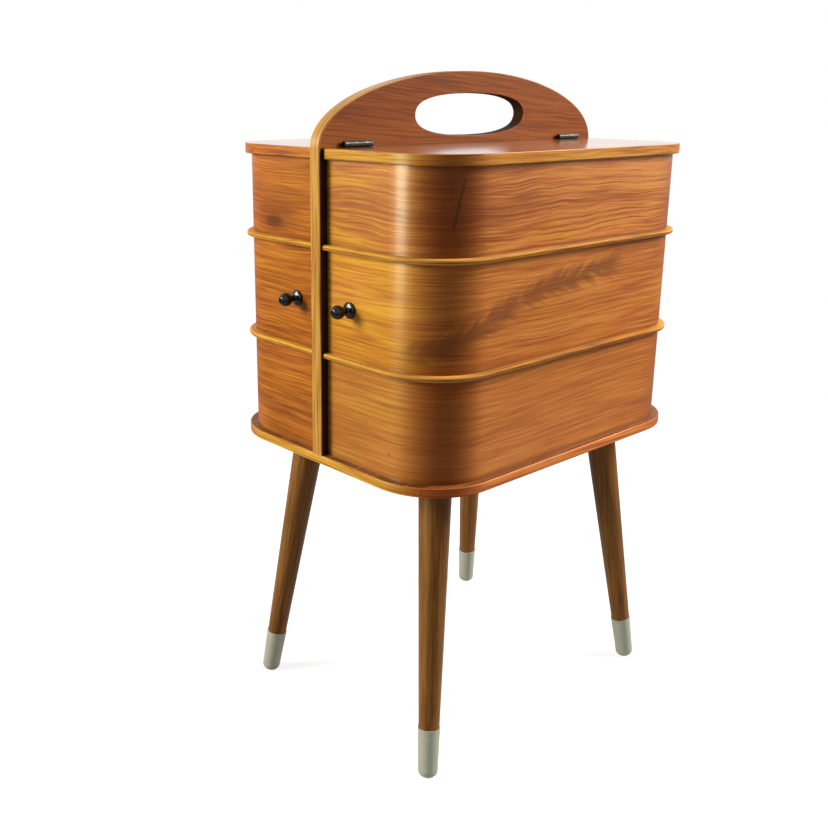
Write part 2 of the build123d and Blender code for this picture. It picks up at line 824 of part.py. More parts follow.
with BuildPart() as leg_plates:
    for sx, sy in LEGS.values():
        with BuildSketch(level(base_bottom, sx * leg_top_x, sy * leg_top_y)):
            RectangleRounded(plate_side, plate_side, plate_corner)
        extrude(amount=-plate_thick)
        with BuildSketch(leg_plane(sx, sy, leg_length)):
            Circle(plate_boss_radius)
        extrude(amount=2 * leg_top_drop)
    split(bisect_by=level(base_bottom), keep=Keep.BOTTOM)
    for sx, sy in LEGS.values():
        with BuildSketch(leg_plane(sx, sy, leg_length)):
            Circle(bolt_radius + fit_clearance)
        extrude(amount=bolt_in_boss + fit_clearance, mode=Mode.SUBTRACT)
    for place in plate_screw_places():
        cut_screw_hole(place, DOWN, ACROSS, *WOOD_SCREW, plate_screw_length)
finish(leg_plates, "leg_plates")

with BuildPart() as hanger_bolts:
    for sx, sy in LEGS.values():
        with BuildSketch(leg_plane(sx, sy, leg_length - bolt_in_leg)):
            Circle(bolt_radius)
        extrude(amount=bolt_in_leg + bolt_in_boss)
    chamfer(hanger_bolts.edges().filter_by(GeomType.CIRCLE), bolt_chamfer)
finish(hanger_bolts, "hanger_bolts")

with BuildPart() as plate_screws:
    for place in plate_screw_places():
        add_screw(place, DOWN, ACROSS, *WOOD_SCREW, plate_screw_length)
finish(plate_screws, "plate_screws")
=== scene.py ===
# %% [markdown]
# # Dressing a sewing carrier
# The imported model is the carrier as bare solids: every board, band, screw and cap is a node of its own, in
# metres, with the floor at z = 0. This lesson never moves one of them. It gives each its finish and adds the
# small detail that solids leave out. The first cell loads the frame, puts each node's place into its mesh and
# drops the other imported objects. The dressed carrier has to stay inside it.

# %% Load the frame
from math import cos, hypot, pi, radians, sin

import bpy
from mathutils import Matrix, Vector


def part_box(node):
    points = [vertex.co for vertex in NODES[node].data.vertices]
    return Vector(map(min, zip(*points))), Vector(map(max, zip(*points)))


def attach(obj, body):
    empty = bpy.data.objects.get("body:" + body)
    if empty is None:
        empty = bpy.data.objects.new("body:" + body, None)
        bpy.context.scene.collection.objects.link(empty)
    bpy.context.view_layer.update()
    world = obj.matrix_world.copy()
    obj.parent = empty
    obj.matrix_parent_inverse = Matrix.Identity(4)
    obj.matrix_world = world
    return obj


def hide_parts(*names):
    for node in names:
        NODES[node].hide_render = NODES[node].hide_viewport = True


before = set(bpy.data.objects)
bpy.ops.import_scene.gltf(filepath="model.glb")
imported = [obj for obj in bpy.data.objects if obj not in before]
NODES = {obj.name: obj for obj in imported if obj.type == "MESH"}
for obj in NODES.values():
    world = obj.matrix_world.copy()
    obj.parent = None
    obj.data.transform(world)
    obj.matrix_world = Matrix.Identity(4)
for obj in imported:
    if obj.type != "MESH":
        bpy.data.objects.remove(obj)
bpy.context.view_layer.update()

# %% [markdown]
# ## Measures
# A finish has to know where the wood stops: where the panel goes under the lids, how far round its corner a
# bent wall has come. These places are read from the nodes' own boxes, so they follow the model. Only what a
# box can't say, such as a corner's radius, is written here.

# %% Measures
MM = 0.001
CORNER_RADIUS = 60 * MM
WALL_THICK = 5 * MM
SIDES = {"left": -1, "right": 1}
TIERS = ("bottom", "middle", "top")

wall_low, wall_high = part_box("top_wall_right")
WALL_X = wall_high.x
MIDDLE_Y = (wall_low.y + wall_high.y) / 2
HALF_LENGTH = (wall_high.y - wall_low.y) / 2
CORNER_X = WALL_X - CORNER_RADIUS
CORNER_Y = HALF_LENGTH - CORNER_RADIUS
LID_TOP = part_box("lid_board_right")[1].z
PANEL_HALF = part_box("central_panel")[1].x
print("walls to x", round(WALL_X, 4), "half length", round(HALF_LENGTH, 4), "lids to z", round(LID_TOP, 4))

# %% [markdown]
# ## Camera
# The camera looks down a little at the near right corner. A camera turned by Euler angles is hard to check,
# so its axes are worked out from the heading, the pitch and the roll and go straight into its matrix. The
# lens and the shift come from the focal length and the optical centre, both in pixels of the square picture.

# %% Camera
PICTURE_SIDE = 828
FOCAL_LENGTH = 995.25
OPTICAL_CENTRE = (369.2, 375.8)
CAMERA_PLACE = Vector((0.7163, -0.7764, 0.6513))
HEADING, PITCH, ROLL = radians(47.82), radians(-15.73), radians(0.33)


def camera_axes(heading, pitch, roll):
    """The camera's right, up and backward directions."""
    forward = Vector((-sin(heading) * cos(pitch), cos(heading) * cos(pitch), sin(pitch)))
    level = Vector((cos(heading), sin(heading), 0))
    upright = level.cross(forward)
    right = level * cos(roll) + upright * sin(roll)
    return right, right.cross(forward), -forward


def add_to_scene(name, data):
    """New object in the scene with this mesh, camera or light."""
    thing = bpy.data.objects.new(name, data)
    bpy.context.scene.collection.objects.link(thing)
    return thing


def make_camera():
    """Camera with the lens, place and shift given above."""
    data = bpy.data.cameras.new("camera")
    data.sensor_width = 36
    data.lens = FOCAL_LENGTH / PICTURE_SIDE * data.sensor_width
    data.shift_x = (PICTURE_SIDE / 2 - OPTICAL_CENTRE[0]) / PICTURE_SIDE
    data.shift_y = (OPTICAL_CENTRE[1] - PICTURE_SIDE / 2) / PICTURE_SIDE
    camera = add_to_scene("camera", data)
    turn = Matrix(camera_axes(HEADING, PITCH, ROLL)).transposed().to_4x4()
    camera.matrix_world = Matrix.Translation(CAMERA_PLACE) @ turn
    bpy.context.scene.camera = camera
    return camera


camera = make_camera()
shift = (round(camera.data.shift_x, 3), round(camera.data.shift_y, 3))
print("lens", round(camera.data.lens, 2), "shift", shift)

# %% [markdown]
# ## Arithmetic on sockets
# A procedural wood is mostly arithmetic, and Math nodes wired by hand hide it. A small class wraps a node's
# output and overloads the operators, so that `1 - mask * 0.5` adds its two Math nodes by itself. Reflected
# forms such as `__rsub__` let the number come first.

# %% Sockets that do arithmetic
class Wire:
    """A node's output. Arithmetic on it adds Math nodes to the same tree."""

    def __init__(self, socket):
        self.socket = socket
        self.tree = socket.id_data

    def math(self, operation, *inputs):
        return make(self.tree, "ShaderNodeMath", {"operation": operation}, inputs)

    def __add__(self, other):
        return self.math("ADD", self, other)

    def __radd__(self, other):
        return self.math("ADD", other, self)

    def __sub__(self, other):
        return self.math("SUBTRACT", self, other)

    def __rsub__(self, other):
        return self.math("SUBTRACT", other, self)

    def __mul__(self, other):
        return self.math("MULTIPLY", self, other)

    def __rmul__(self, other):
        return self.math("MULTIPLY", other, self)

    def __truediv__(self, other):
        return self.math("DIVIDE", self, other)

    def __pow__(self, other):
        return self.math("POWER", self, other)

    def __abs__(self):
        return self.math("ABSOLUTE", self)


print("wires add, subtract, multiply, divide and take powers and absolute values")

# %% [markdown]
# Every other node comes from one function. It takes the node's type, its settings and what goes into its
# sockets, in that order, because a setting such as the data type changes which sockets there are. The three
# small helpers below it are used all through the lesson.

# %% Making a node
def set_stops(ramp, stops):
    """Give a colour ramp these (place, colour) stops."""
    while len(ramp.elements) < len(stops):
        ramp.elements.new(1)
    for element, (place, colour) in zip(ramp.elements, stops):
        element.position = place
        element.color = colour


def make(tree, kind, settings=None, inputs=(), output=0):
    """Add a node: its settings first, then each socket's value or wire. Gives the output of that name or
    number as a wire, or a list of them all where output is None."""
    node = tree.nodes.new(kind)
    for name, value in (settings or {}).items():
        if name == "stops":
            set_stops(node.color_ramp, value)
        else:
            setattr(node, name, value)
    for key, value in inputs.items() if isinstance(inputs, dict) else enumerate(inputs):
        if isinstance(value, Wire):
            tree.links.new(value.socket, node.inputs[key])
        else:
            node.inputs[key].default_value = value
    if output is None:
        return [Wire(socket) for socket in node.outputs]
    return Wire(node.outputs[output])


def smaller(a, b):
    """The smaller of two wires, or of a wire and a number."""
    return a.math("MINIMUM", a, b)


def larger(a, b):
    """The larger of two wires, or of a wire and a number."""
    return a.math("MAXIMUM", a, b)


def step(value, start, end):
    """0 below start, 1 above end, and smooth between them; start may be the larger."""
    if start < end:
        inputs = {"Value": value, "From Min": start, "From Max": end}
        return make(value.tree, "ShaderNodeMapRange", {"interpolation_type": "SMOOTHSTEP"}, inputs)
    return 1 - step(value, end, start)


print("made with it: smaller, larger and step")

# %% [markdown]
# Colours are written as they look on a screen, from 0 to 255, and made linear here, because a shader's
# sockets hold linear light. Mixing colours and building vectors have a helper each: a Math node would turn a
# colour grey. Noise is read in four dimensions, the fourth being its seed, so that no two pieces match.

# %% Colours, vectors and noise
def paint(red, green, blue):
    """A screen colour from 0 to 255 as linear RGBA."""
    shares = [channel / 255 for channel in (red, green, blue)]
    linear = [s / 12.92 if s <= 0.04045 else ((s + 0.055) / 1.055) ** 2.4 for s in shares]
    return (*linear, 1.0)


def tones(*colours):
    """Several screen colours, from dark to light."""
    return tuple(paint(*colour) for colour in colours)


def mix(share, first, second):
    """Colour between first and second; share is a wire."""
    inputs = {0: share, 6: first, 7: second}
    return make(share.tree, "ShaderNodeMix", {"data_type": "RGBA"}, inputs, output=2)


def vector(x, y, z):
    """Vector from three wires or numbers; the first is a wire."""
    return make(x.tree, "ShaderNodeCombineXYZ", None, (x, y, z))


def noise(place, seed, detail=2.0, roughness=0.5):
    """Noise with its mean near 0.5 at a vector place measured in the noise's own cells."""
    inputs = {"Vector": place, "W": seed, "Scale": 1.0, "Detail": detail, "Roughness": roughness}
    return make(place.tree, "ShaderNodeTexNoise", {"noise_dimensions": "4D"}, inputs)


def speckle(place, cells, seed, detail=3.0):
    """Noise at an x, y and z with so many cells to the metre each way."""
    return noise(vector(*[axis * cells for axis in place]), seed, detail=detail)


def object_place(tree):
    """The point's x, y and z in the object's own coordinates, which are the frame's."""
    place = make(tree, "ShaderNodeTexCoord", output="Object")
    return make(tree, "ShaderNodeSeparateXYZ", None, (place,), output=None)


print("a screen grey of 128 is", round(paint(128, 128, 128)[0], 3), "in linear light")

# %% [markdown]
# ## One surface shader
# Wood, plastic and metal could each have a shader of their own, but one Principled shader covers them all and
# exports cleanly, so every finish ends in it. What is the same all over, such as the coat's roughness, is set
# on its own socket. What changes goes only into colour, roughness, coat weight, metallic and a Bump node. A
# finish that several pieces share, such as lacquer, is a small dictionary of those constant sockets.

# %% Start and end of a material
def start_material(name):
    """Empty material, its node tree and the point's x, y and z."""
    material = bpy.data.materials.new(name)
    material.use_nodes = True
    material.node_tree.nodes.clear()
    return material, material.node_tree, object_place(material.node_tree)


def close_material(tree, colour, roughness, height, depth, finish):
    """End a tree in the Principled shader; height is a wire from 0 to 1 and depth its relief in metres."""
    relief = make(tree, "ShaderNodeBump", None, {"Distance": depth, "Height": height})
    sockets = {"Base Color": colour, "Roughness": roughness, "Normal": relief, **finish}
    shader = make(tree, "ShaderNodeBsdfPrincipled", None, sockets)
    make(tree, "ShaderNodeOutputMaterial", None, {"Surface": shader}, output=None)


def finish_node(name, material):
    """Put a material in every slot of a CAD node."""
    for slot in NODES[name].material_slots:
        slot.material = material


print("nodes to finish:", len(NODES))

# %% [markdown]
# ## Wood
# Sliced wood is growth layers cut by a plane: long lines that wander together, broad bands of slow tone
# behind them, brown streaks here and there, and short dark pores along the grain. An image of wood would
# repeat and would stretch round a bend, so all of it comes from one noise read at different stretches. The
# place is given as *along*, *across* and *through* the board, so the same function serves a flat lid, a bent
# wall and a turned leg. The wander bends *across* before the lines are drawn, which makes them swell and
# close into arches where it is strong. The rings are one slow noise folded over, like the contours of a map.

# %% Wood grain
RING_FOLDS = 7
HAIRS_PER_METRE = 850.0
PORES_PER_METRE = 1000.0


def grain(along, across, through, seed, wander=5 * MM, line=3 * MM, band=30 * MM):
    """Tone, streak and pore masks of wood at a place in metres along, across and through the board."""
    # Each noise has few cells to the metre along the board and many across it, which draws it out into lines.
    slow = vector(along * 6.0, across * 8.0, through * 8.0)
    bent = across + (noise(slow, seed, detail=3.0) - 0.5) * (wander * 3)
    bands = noise(vector(along * 3.5, bent / band, through / band), seed + 1, detail=2.0)
    layers = noise(vector(along * 2.6, bent / (line * 5), through / (line * 5)), seed + 6, detail=1.0)
    rings = layers.math("PINGPONG", layers * RING_FOLDS, 0.5) * 2
    lines = noise(vector(along * 7.0, bent / line, through / line), seed + 2, detail=4.0, roughness=0.66)
    hair_place = vector(along * 20.0, bent * HAIRS_PER_METRE, through * HAIRS_PER_METRE)
    hairs = noise(hair_place, seed + 3, detail=2.0)
    tone = bands * 0.3 + rings * 0.1 + lines * 0.2 + hairs * 0.4
    dark_lines = noise(vector(along * 5.0, bent / line * 0.8, through / line * 0.8), seed + 4, detail=3.0)
    streaks = step(dark_lines, 0.55, 0.7)
    pore_place = vector(along * 45.0, bent * PORES_PER_METRE, through * PORES_PER_METRE)
    dashes = noise(pore_place, seed + 5, detail=1.0)
    pores = larger(step(dashes, 0.56, 0.68), step(rings, 0.3, 0.04) * 0.5)
    return tone, streaks, pores


def wood_colour(fibres, shades):
    """Colour of wood from its tone, streaks and pores and its dark, middle and light shades."""
    tone, streaks, pores = fibres
    dark, middle, light = shades
    ramp = {"stops": [(0.0, dark), (0.5, middle), (1.0, light)]}
    plain = make(tone.tree, "ShaderNodeValToRGB", ramp, {"Fac": step(tone, 0.37, 0.63)})
    return mix(larger(streaks * 0.24, pores * 0.34), plain, dark)


print("pores", 1000 / PORES_PER_METRE, "mm apart, hairs", round(1000 / HAIRS_PER_METRE, 2), "mm")

# %% [markdown]
# Under the lacquer the fibres of veneer throw back a warm, wide glow when a lamp stands before them, which is
# why the same wood looks golden on one face and brown on the next. Painted into the colour, that glow would
# stay where it is when the carrier turns. The shader's tinted specular moves with the lamps instead, and the
# clear coat above it adds the white gloss. Part of the glow is still painted, as golden tones on the short
# ends of the walls, beads and bands. Hands and cloths leave the polish uneven, in soft patches.

# %% Lacquered wood
LACQUER = {"Specular IOR Level": 0.5, "Specular Tint": paint(255, 184, 70), "Coat Roughness": 0.27}
SATIN = {"Specular IOR Level": 0.25, "Specular Tint": paint(255, 200, 120), "Coat Roughness": 0.3}
DRY_WOOD = {"Specular IOR Level": 0.15, "Specular Tint": paint(255, 214, 160), "Coat Roughness": 0.3}
RUBBED_WOOD = {"Specular IOR Level": 0.4, "Specular Tint": paint(255, 214, 160), "Coat Roughness": 0.3}
GRAIN_RELIEF = 0.04 * MM
POLISH_PATCHES = 16.0


def handled(x, y, z, seed):
    """Uneven polish, from 0 to 1, in soft patches a few centimetres wide."""
    return speckle((x, y, z), POLISH_PATCHES, seed + 9)


def close_wood(tree, colour, fibres, polish, coat, finish=LACQUER):
    """End a wood's tree: open pores and lines stand in slight relief, and polish varies the gloss."""
    tone, _, pores = fibres
    height = tone * 0.6 - pores * 0.4
    dull = 0.38 + polish * 0.16
    close_material(tree, colour, dull, height, GRAIN_RELIEF, {**finish, "Coat Weight": coat})


print("patches of polish", round(1000 / POLISH_PATCHES), "mm wide")

# %% [markdown]
# ## Bent tray walls
# Each tier's wall is one sheet of ply bent round the tray, and its face veneer runs round with it. The solid
# has no UV map, and a flat projection would smear the grain at the corner, so the place along the grain is
# unrolled: the distance walked along the wall from the middle of its long side. The same measure gives the
# depth into the wall, which tells the face veneer from the layers on the sawn rim and the paler lining.

# %% Unroll the wall
def unrolled(x, y):
    """Distance along the wall from the middle of its long side, and depth into it from the outside."""
    side_way = abs(x)
    end_way = abs(y - MIDDLE_Y)
    past_x = larger(side_way - CORNER_X, 0.0)
    past_y = larger(end_way - CORNER_Y, 0.0)
    turned = past_y.math("ARCTAN2", past_y, past_x)
    walked = smaller(end_way, CORNER_Y) + turned * CORNER_RADIUS + (CORNER_X - smaller(side_way, CORNER_X))
    sign = y.math("SIGN", y - MIDDLE_Y)
    reach = (past_x * past_x + past_y * past_y) ** 0.5
    return walked * sign, CORNER_RADIUS - reach


STRAIGHT_SIDE = CORNER_Y
ROUND_CORNER = CORNER_RADIUS * pi / 2


def end_share(along):
    """0 along the long side, 1 on the short ends, and smooth round the corner."""
    return step(abs(along), STRAIGHT_SIDE + ROUND_CORNER * 0.45, STRAIGHT_SIDE + ROUND_CORNER * 0.95)


def on_bend(along):
    """1 round the middle of the corner and 0 at its ends: where painted shade and bead highlights go."""
    off = abs(abs(along) - (STRAIGHT_SIDE + ROUND_CORNER * 0.4)) / ROUND_CORNER
    return step(off, 0.55, 0.05)


print("unrolled: side", round(STRAIGHT_SIDE, 3), "then corner", round(ROUND_CORNER, 3))

# %% [markdown]
# Old veneer is marked: a knot, a pin hole, a hairline where it was stressed round the bend, and on one wall a
# feathered figure where a branch left the trunk. A picture of each could be laid over the wood as a decal.
# As masks drawn on the unrolled wall they stay sharp at any distance, the grain roughens their edges, and
# they bend with the ply.

# %% Marks in the veneer
BARBS_PER_METRE = 90.0


def spot(along, height, tone, centre, size):
    """Mask of an oval mark with a soft, grainy edge."""
    away = (along - centre[0]) / size[0]
    above = (height - centre[1]) / size[1]
    distance = (away * away + above * above) ** 0.5 + (tone - 0.5) * 1.6
    return step(distance, 1.0, 0.3)


def hairline(along, height, tone, start, end, width):
    """Mask of a thin crack from start down to end, both (along, height)."""
    lean = (end[0] - start[0]) / (end[1] - start[1])
    off = abs(along - (height - start[1]) * lean - start[0] + (tone - 0.5) * (9 * MM))
    ends = step(height, start[1], start[1] - 6 * MM) * step(height, end[1] - 4 * MM, end[1] + 6 * MM)
    return step(off, width * 2, width) * ends


def plume(along, height, seed, start, end, width):
    """Mask of feathered figure: dark barbs that lean off a line from start to end."""
    run, rise = end[0] - start[0], end[1] - start[1]
    length = hypot(run, rise)
    way = ((along - start[0]) * run + (height - start[1]) * rise) / length
    off = ((height - start[1]) * run - (along - start[0]) * rise) / length
    leaning = (way - abs(off) * 1.5) * BARBS_PER_METRE
    barbs = noise(vector(leaning, off * (BARBS_PER_METRE / 2), 0.0), seed, detail=3.0, roughness=0.65)
    ragged = abs(off) + (barbs - 0.5) * (width * 2.2)
    ends = step(way, -width, width) * step(way, length + width, length - width)
    return step(ragged, width, width * 0.1) * ends


print("barbs of the feathered figure", round(1000 / BARBS_PER_METRE, 1), "mm apart")

# %% [markdown]
# The short ends are painted golden and the long sides redder, each with clouds of the other: partly the
# veneer's own tone, partly a painted sheen of the lamps on the ends. Two sets of tones are mixed by the
# distance along the wall and a slow noise. Round the bend the face is painted darker, as painted shade on
# the corner. The rim shows the layers of the ply, and the wall is painted darker over its lowest few
# millimetres, where it meets its floor. A material for each part of the wall would leave hard borders, so
# all of them are masks in one.

# %% Tray wall finish
GOLDEN = tones((134, 52, 6), (178, 100, 10), (216, 154, 20))
PALE_GOLD = tones((132, 60, 16), (184, 112, 34), (218, 160, 58))
BRIGHT_GOLD = tones((152, 74, 8), (204, 132, 20), (234, 176, 38))
BROWN_GOLD = tones((112, 52, 5), (170, 93, 16), (216, 138, 32))
RED_WALL = tones((142, 68, 22), (200, 114, 46), (226, 150, 68))
LINING = tones((158, 108, 62), (192, 144, 92), (212, 168, 114))
MARK = paint(58, 26, 10)
PAINTED_BEND_SHADE = paint(108, 32, 2)
WALL_PLIES = 5
CLOUDS_ALONG = 11.0
CLOUDS_UP = 24.0


def ply_stripes(depth, layers):
    """Stripes of crossed plies over a depth from 0 to 1: 0 on one layer, 1 on the next."""
    return step(depth.math("PINGPONG", depth * layers, 1.0), 0.42, 0.58)


def make_wall_material(name, foot, seed, wander, figure, gloss, ends, bend, draw_marks):
    """Lacquered veneer outside, lining inside, ply on the rim. Foot is the height of the wall's lower edge,
    figure how strong the grain shows, gloss the weight of the coat, ends the tones of the short ends and
    bend the share of painted shade in the corners."""
    material, tree, (x, y, z) = start_material(name)
    along, depth = unrolled(x, y)
    strong_tone, streaks, pores = grain(along, z, depth * 0.2, seed, wander=wander, line=2.4 * MM)
    tone = (strong_tone - 0.5) * figure + 0.5
    fibres = (tone, streaks, pores)
    shown = (tone, streaks * figure, pores * figure)
    cloud = noise(vector(along * CLOUDS_ALONG, z * CLOUDS_UP, 0.0), seed + 7, detail=2.0)
    # The short ends take golden tones and the long sides redder ones: partly own tone, partly painted sheen.
    golden = smaller(larger(end_share(along) + (cloud - 0.54) * 2.6, 0.0), 1.0)
    face = mix(golden, wood_colour(shown, RED_WALL), wood_colour(shown, ends))
    # Painted shade: the face is painted darker round the middle of each corner.
    darkened = on_bend(along) * bend
    face = mix(darkened, face, PAINTED_BEND_SHADE)
    face = draw_marks(face, along, z, tone, seed)
    # The wall is painted darker over its lowest 5 mm, where it meets its floor.
    face = mix(step(z, foot + 5 * MM, foot + 0.5 * MM) * 0.5, face, MARK)
    inside = step(depth, 1.0 * MM, 1.4 * MM)
    plies = ply_stripes(depth / WALL_THICK, WALL_PLIES)
    lining = mix(plies * 0.35, wood_colour(fibres, LINING), MARK)
    polish = handled(x, y, z, seed)
    coat = (1 - polish * 0.36 - pores * 0.27) * (1 - larger(inside * 0.8, darkened * 0.5)) * gloss
    close_wood(tree, mix(inside, face, lining), fibres, polish, coat)
    return material


print("a wall's ply has", WALL_PLIES, "stripes on its rim")

# %% [markdown]
# Each wall is a sheet of its own, with marks of its own, and the same mark on every wall would be seen at
# once. The function above is handed one of these to draw them. Places are in millimetres along the wall and
# up from the floor of the room.

# %% Marks of each wall
CRACK = paint(40, 16, 6)
FIGURE = paint(116, 54, 24)
KNOT_SHADE = paint(122, 46, 10)
KNOT_HEART = paint(70, 20, 4)


def no_marks(face, along, height, tone, seed):
    """Leave the veneer as it is."""
    return face


def top_right_marks(face, along, height, tone, seed):
    """A hairline where the ply bends most."""
    crack = hairline(along, height, tone, (-158 * MM, 588 * MM), (-168 * MM, 541 * MM), 0.8 * MM)
    return mix(crack * 0.85, face, CRACK)


def middle_right_marks(face, along, height, tone, seed):
    """A feathered figure that climbs from the corner along the side, and a pin hole by the panel."""
    bend = (-85 * MM, 474 * MM)
    steep = plume(along, height, seed + 5, (-205 * MM, 430 * MM), bend, 17 * MM)
    level = plume(along, height, seed + 6, bend, (66 * MM, 494 * MM), 16 * MM)
    pin_hole = spot(along, height, tone, (-307 * MM, 476 * MM), (1.3 * MM, 1.6 * MM))
    return mix(pin_hole * 0.8, mix(larger(steep, level) * 0.75, face, FIGURE), MARK)


def bottom_right_marks(face, along, height, tone, seed):
    """A small tight knot where the corner starts."""
    knot = spot(along, height, tone, (-224 * MM, 335 * MM), (4 * MM, 2.6 * MM))
    return mix(knot * 0.4, face, MARK)


def top_left_marks(face, along, height, tone, seed):
    """A dark knot low on the near end."""
    shade = spot(along, height, tone, (-243 * MM, 540 * MM), (44 * MM, 26 * MM))
    knot = spot(along, height, tone, (-243 * MM, 533 * MM), (19 * MM, 9 * MM))
    return mix(knot * 0.75, mix(shade * 0.6, face, KNOT_SHADE), KNOT_HEART)


print("the corner ends", round((STRAIGHT_SIDE + ROUND_CORNER) / MM), "mm along the wall")

# %% [markdown]
# The six walls differ otherwise only in a few numbers: how far the grain wanders, how boldly it is figured,
# how heavy the coat is, and how much painted shade lies on the bend. Six functions would say the same thing
# six times, so the numbers stand in a table and a loop makes the walls.

# %% The six walls
# Each wall: seed, wander, figure, gloss, tones of the short ends, painted shade on the bend, marks.
WALLS = {
    "top_wall_right": (11.0, 9 * MM, 0.85, 0.56, GOLDEN, 0.8, top_right_marks),
    "middle_wall_right": (26.0, 4 * MM, 0.62, 0.56, BRIGHT_GOLD, 0.34, middle_right_marks),
    "bottom_wall_right": (35.0, 3 * MM, 0.45, 0.56, PALE_GOLD, 0.66, bottom_right_marks),
    "top_wall_left": (47.0, 7 * MM, 0.6, 0.2, BROWN_GOLD, 0.5, top_left_marks),
    "middle_wall_left": (59.0, 6 * MM, 0.65, 0.4, BROWN_GOLD, 0.5, no_marks),
    "bottom_wall_left": (71.0, 5 * MM, 0.65, 0.4, BROWN_GOLD, 0.5, no_marks),
}
for name, wall in WALLS.items():
    finish_node(name, make_wall_material(f"veneer_{name}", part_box(name)[0].z, *wall))
print("walls finished:", len(WALLS))

# %% [markdown]
# ## Tray floors and their beads
# Each upper floor stands out of the wall as a rounded bead, where the edge of the ply shows: golden layers
# with a dark glue line between them. Its short ends are painted more golden than its long sides, partly its
# own tone and partly a painted sheen, and it is painted paler round the bends, a painted highlight where the
# light from above catches it. The bead is one solid with the floor, so masks part them: the depth tells it
# from the plain lining inside the tray, and the height finds the glue line. Its grain runs round, so it is
# unrolled as the wall is.

# %% Floor finish
BEAD_END = tones((164, 100, 22), (214, 148, 40), (236, 180, 66))
BEAD_SIDE = tones((138, 78, 16), (188, 119, 28), (212, 145, 44))
PAINTED_BEAD_HIGHLIGHT = paint(250, 178, 90)
GLUE = paint(84, 42, 14)
GLUE_HEIGHT = 2.2 * MM


def make_floor_material(name, seed, foot):
    """Golden ply edge outside, lining inside; foot is the height of the floor's underside."""
    material, tree, (x, y, z) = start_material(name)
    along, depth = unrolled(x, y)
    fibres = grain(along, z, depth, seed, line=1.6 * MM)
    # Golden short ends and darker long sides: partly the bead's own tone, partly a painted sheen.
    edge = mix(end_share(along), wood_colour(fibres, BEAD_SIDE), wood_colour(fibres, BEAD_END))
    # Painted highlight: the bead is painted paler round each corner.
    edge = mix(on_bend(along) * 0.6, edge, PAINTED_BEAD_HIGHLIGHT)
    glue = step(abs(z - (foot + GLUE_HEIGHT)), 0.7 * MM, 0.35 * MM)
    flat = grain(y, x, z, seed + 20)
    inside = step(depth, 1 * MM, 3 * MM)
    colour = mix(inside, mix(glue * 0.6, edge, GLUE), wood_colour(flat, LINING))
    polish = handled(x, y, z, seed)
    close_wood(tree, colour, flat, polish + 0.8, 0.08, DRY_WOOD)
    return material


for side_name in SIDES:
    for number, tier in enumerate(("middle", "top")):
        node = f"{tier}_floor_{side_name}"
        seed = 80.0 + 9 * number + (4 if side_name == "left" else 0)
        finish_node(node, make_floor_material(f"ply_{node}", seed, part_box(node)[0].z))
print("floors finished, glue line", round(GLUE_HEIGHT / MM, 1), "mm up the bead")

# %% [markdown]
# ## Edge bands
# The lids, the base and the panel have a thin band of solid wood glued round their sawn edges. On the panel
# it climbs the straight front, pale and golden, and follows the arch, dark only over the top. Unrolling an
# arch would take far more nodes than it shows: the strip is so thin that only the place across it tells its
# fibres apart, and its length is taken from the height and the distance from the middle.

# %% Panel band
PANEL_BAND = tones((158, 98, 30), (198, 142, 52), (220, 170, 80))
ARCH_BAND = tones((80, 32, 8), (124, 60, 18), (152, 84, 32))
ARCH_DARKENS = LID_TOP + 56 * MM
ARCH_DARK = LID_TOP + 73 * MM


def make_panel_band_material(name, seed):
    """Solid edging whose grain climbs the panel's front and follows its arch, darker over the arch."""
    material, tree, (x, y, z) = start_material(name)
    along = z - abs(y - MIDDLE_Y)
    fibres = grain(along, x, along * 0.01, seed, wander=1 * MM, line=1.5 * MM, band=5 * MM)
    over = step(z, ARCH_DARKENS, ARCH_DARK)
    colour = mix(over, wood_colour(fibres, PANEL_BAND), wood_colour(fibres, ARCH_BAND))
    polish = handled(x, y, z, seed)
    coat = (0.5 - polish * 0.2) * (1 - over * 0.95)
    close_wood(tree, colour, fibres, polish + over * 1.6, coat, SATIN)
    return material


finish_node("panel_edge_band", make_panel_band_material("band_panel", seed=101.0))
print("panel band finished, darker from z", round(ARCH_DARKENS, 3), "upwards")

# %% [markdown]
# Round a lid and the base the band's grain runs with the edge, and the plan is that of the walls, so the
# unrolled place serves again. Each band has one set of tones for the ends and one for the sides, the golden
# ends partly a painted sheen, and it is painted darker where it was bent, as painted shade on the corner.

# %% Round bands
BAND_TONES = {
    "lid_edge_band_left": (
        tones((118, 50, 6), (184, 96, 16), (212, 128, 28)),
        tones((140, 70, 16), (196, 112, 32), (218, 142, 48)),
    ),
    "lid_edge_band_right": (
        tones((134, 72, 6), (190, 126, 14), (216, 158, 28)),
        tones((150, 80, 22), (204, 130, 42), (226, 158, 64)),
    ),
    "base_edge_band": (
        tones((164, 102, 28), (218, 154, 48), (236, 182, 76)),
        tones((162, 78, 28), (216, 118, 48), (236, 150, 70)),
    ),
}
PAINTED_BAND_SHADE = paint(140, 40, 6)


def make_round_band_material(name, seed, end_tones, side_tones):
    """Solid edging whose grain runs round the rounded plan."""
    material, tree, (x, y, z) = start_material(name)
    along, depth = unrolled(x, y)
    fibres = grain(along, z, depth, seed, wander=2 * MM, line=2 * MM, band=9 * MM)
    # Golden ends and redder sides: partly the band's own tone, partly a painted sheen.
    colour = mix(end_share(along), wood_colour(fibres, side_tones), wood_colour(fibres, end_tones))
    # Painted shade: the band is painted darker round the middle of each corner.
    colour = mix(on_bend(along) * 0.5, colour, PAINTED_BAND_SHADE)
    polish = handled(x, y, z, seed)
    close_wood(tree, colour, fibres, polish, 0.28 - polish * 0.14, SATIN)
    return material


for number, (node, shades) in enumerate(BAND_TONES.items()):
    finish_node(node, make_round_band_material(f"wood_{node}", 104.0 + 3 * number, *shades))
print("round bands finished:", len(BAND_TONES))

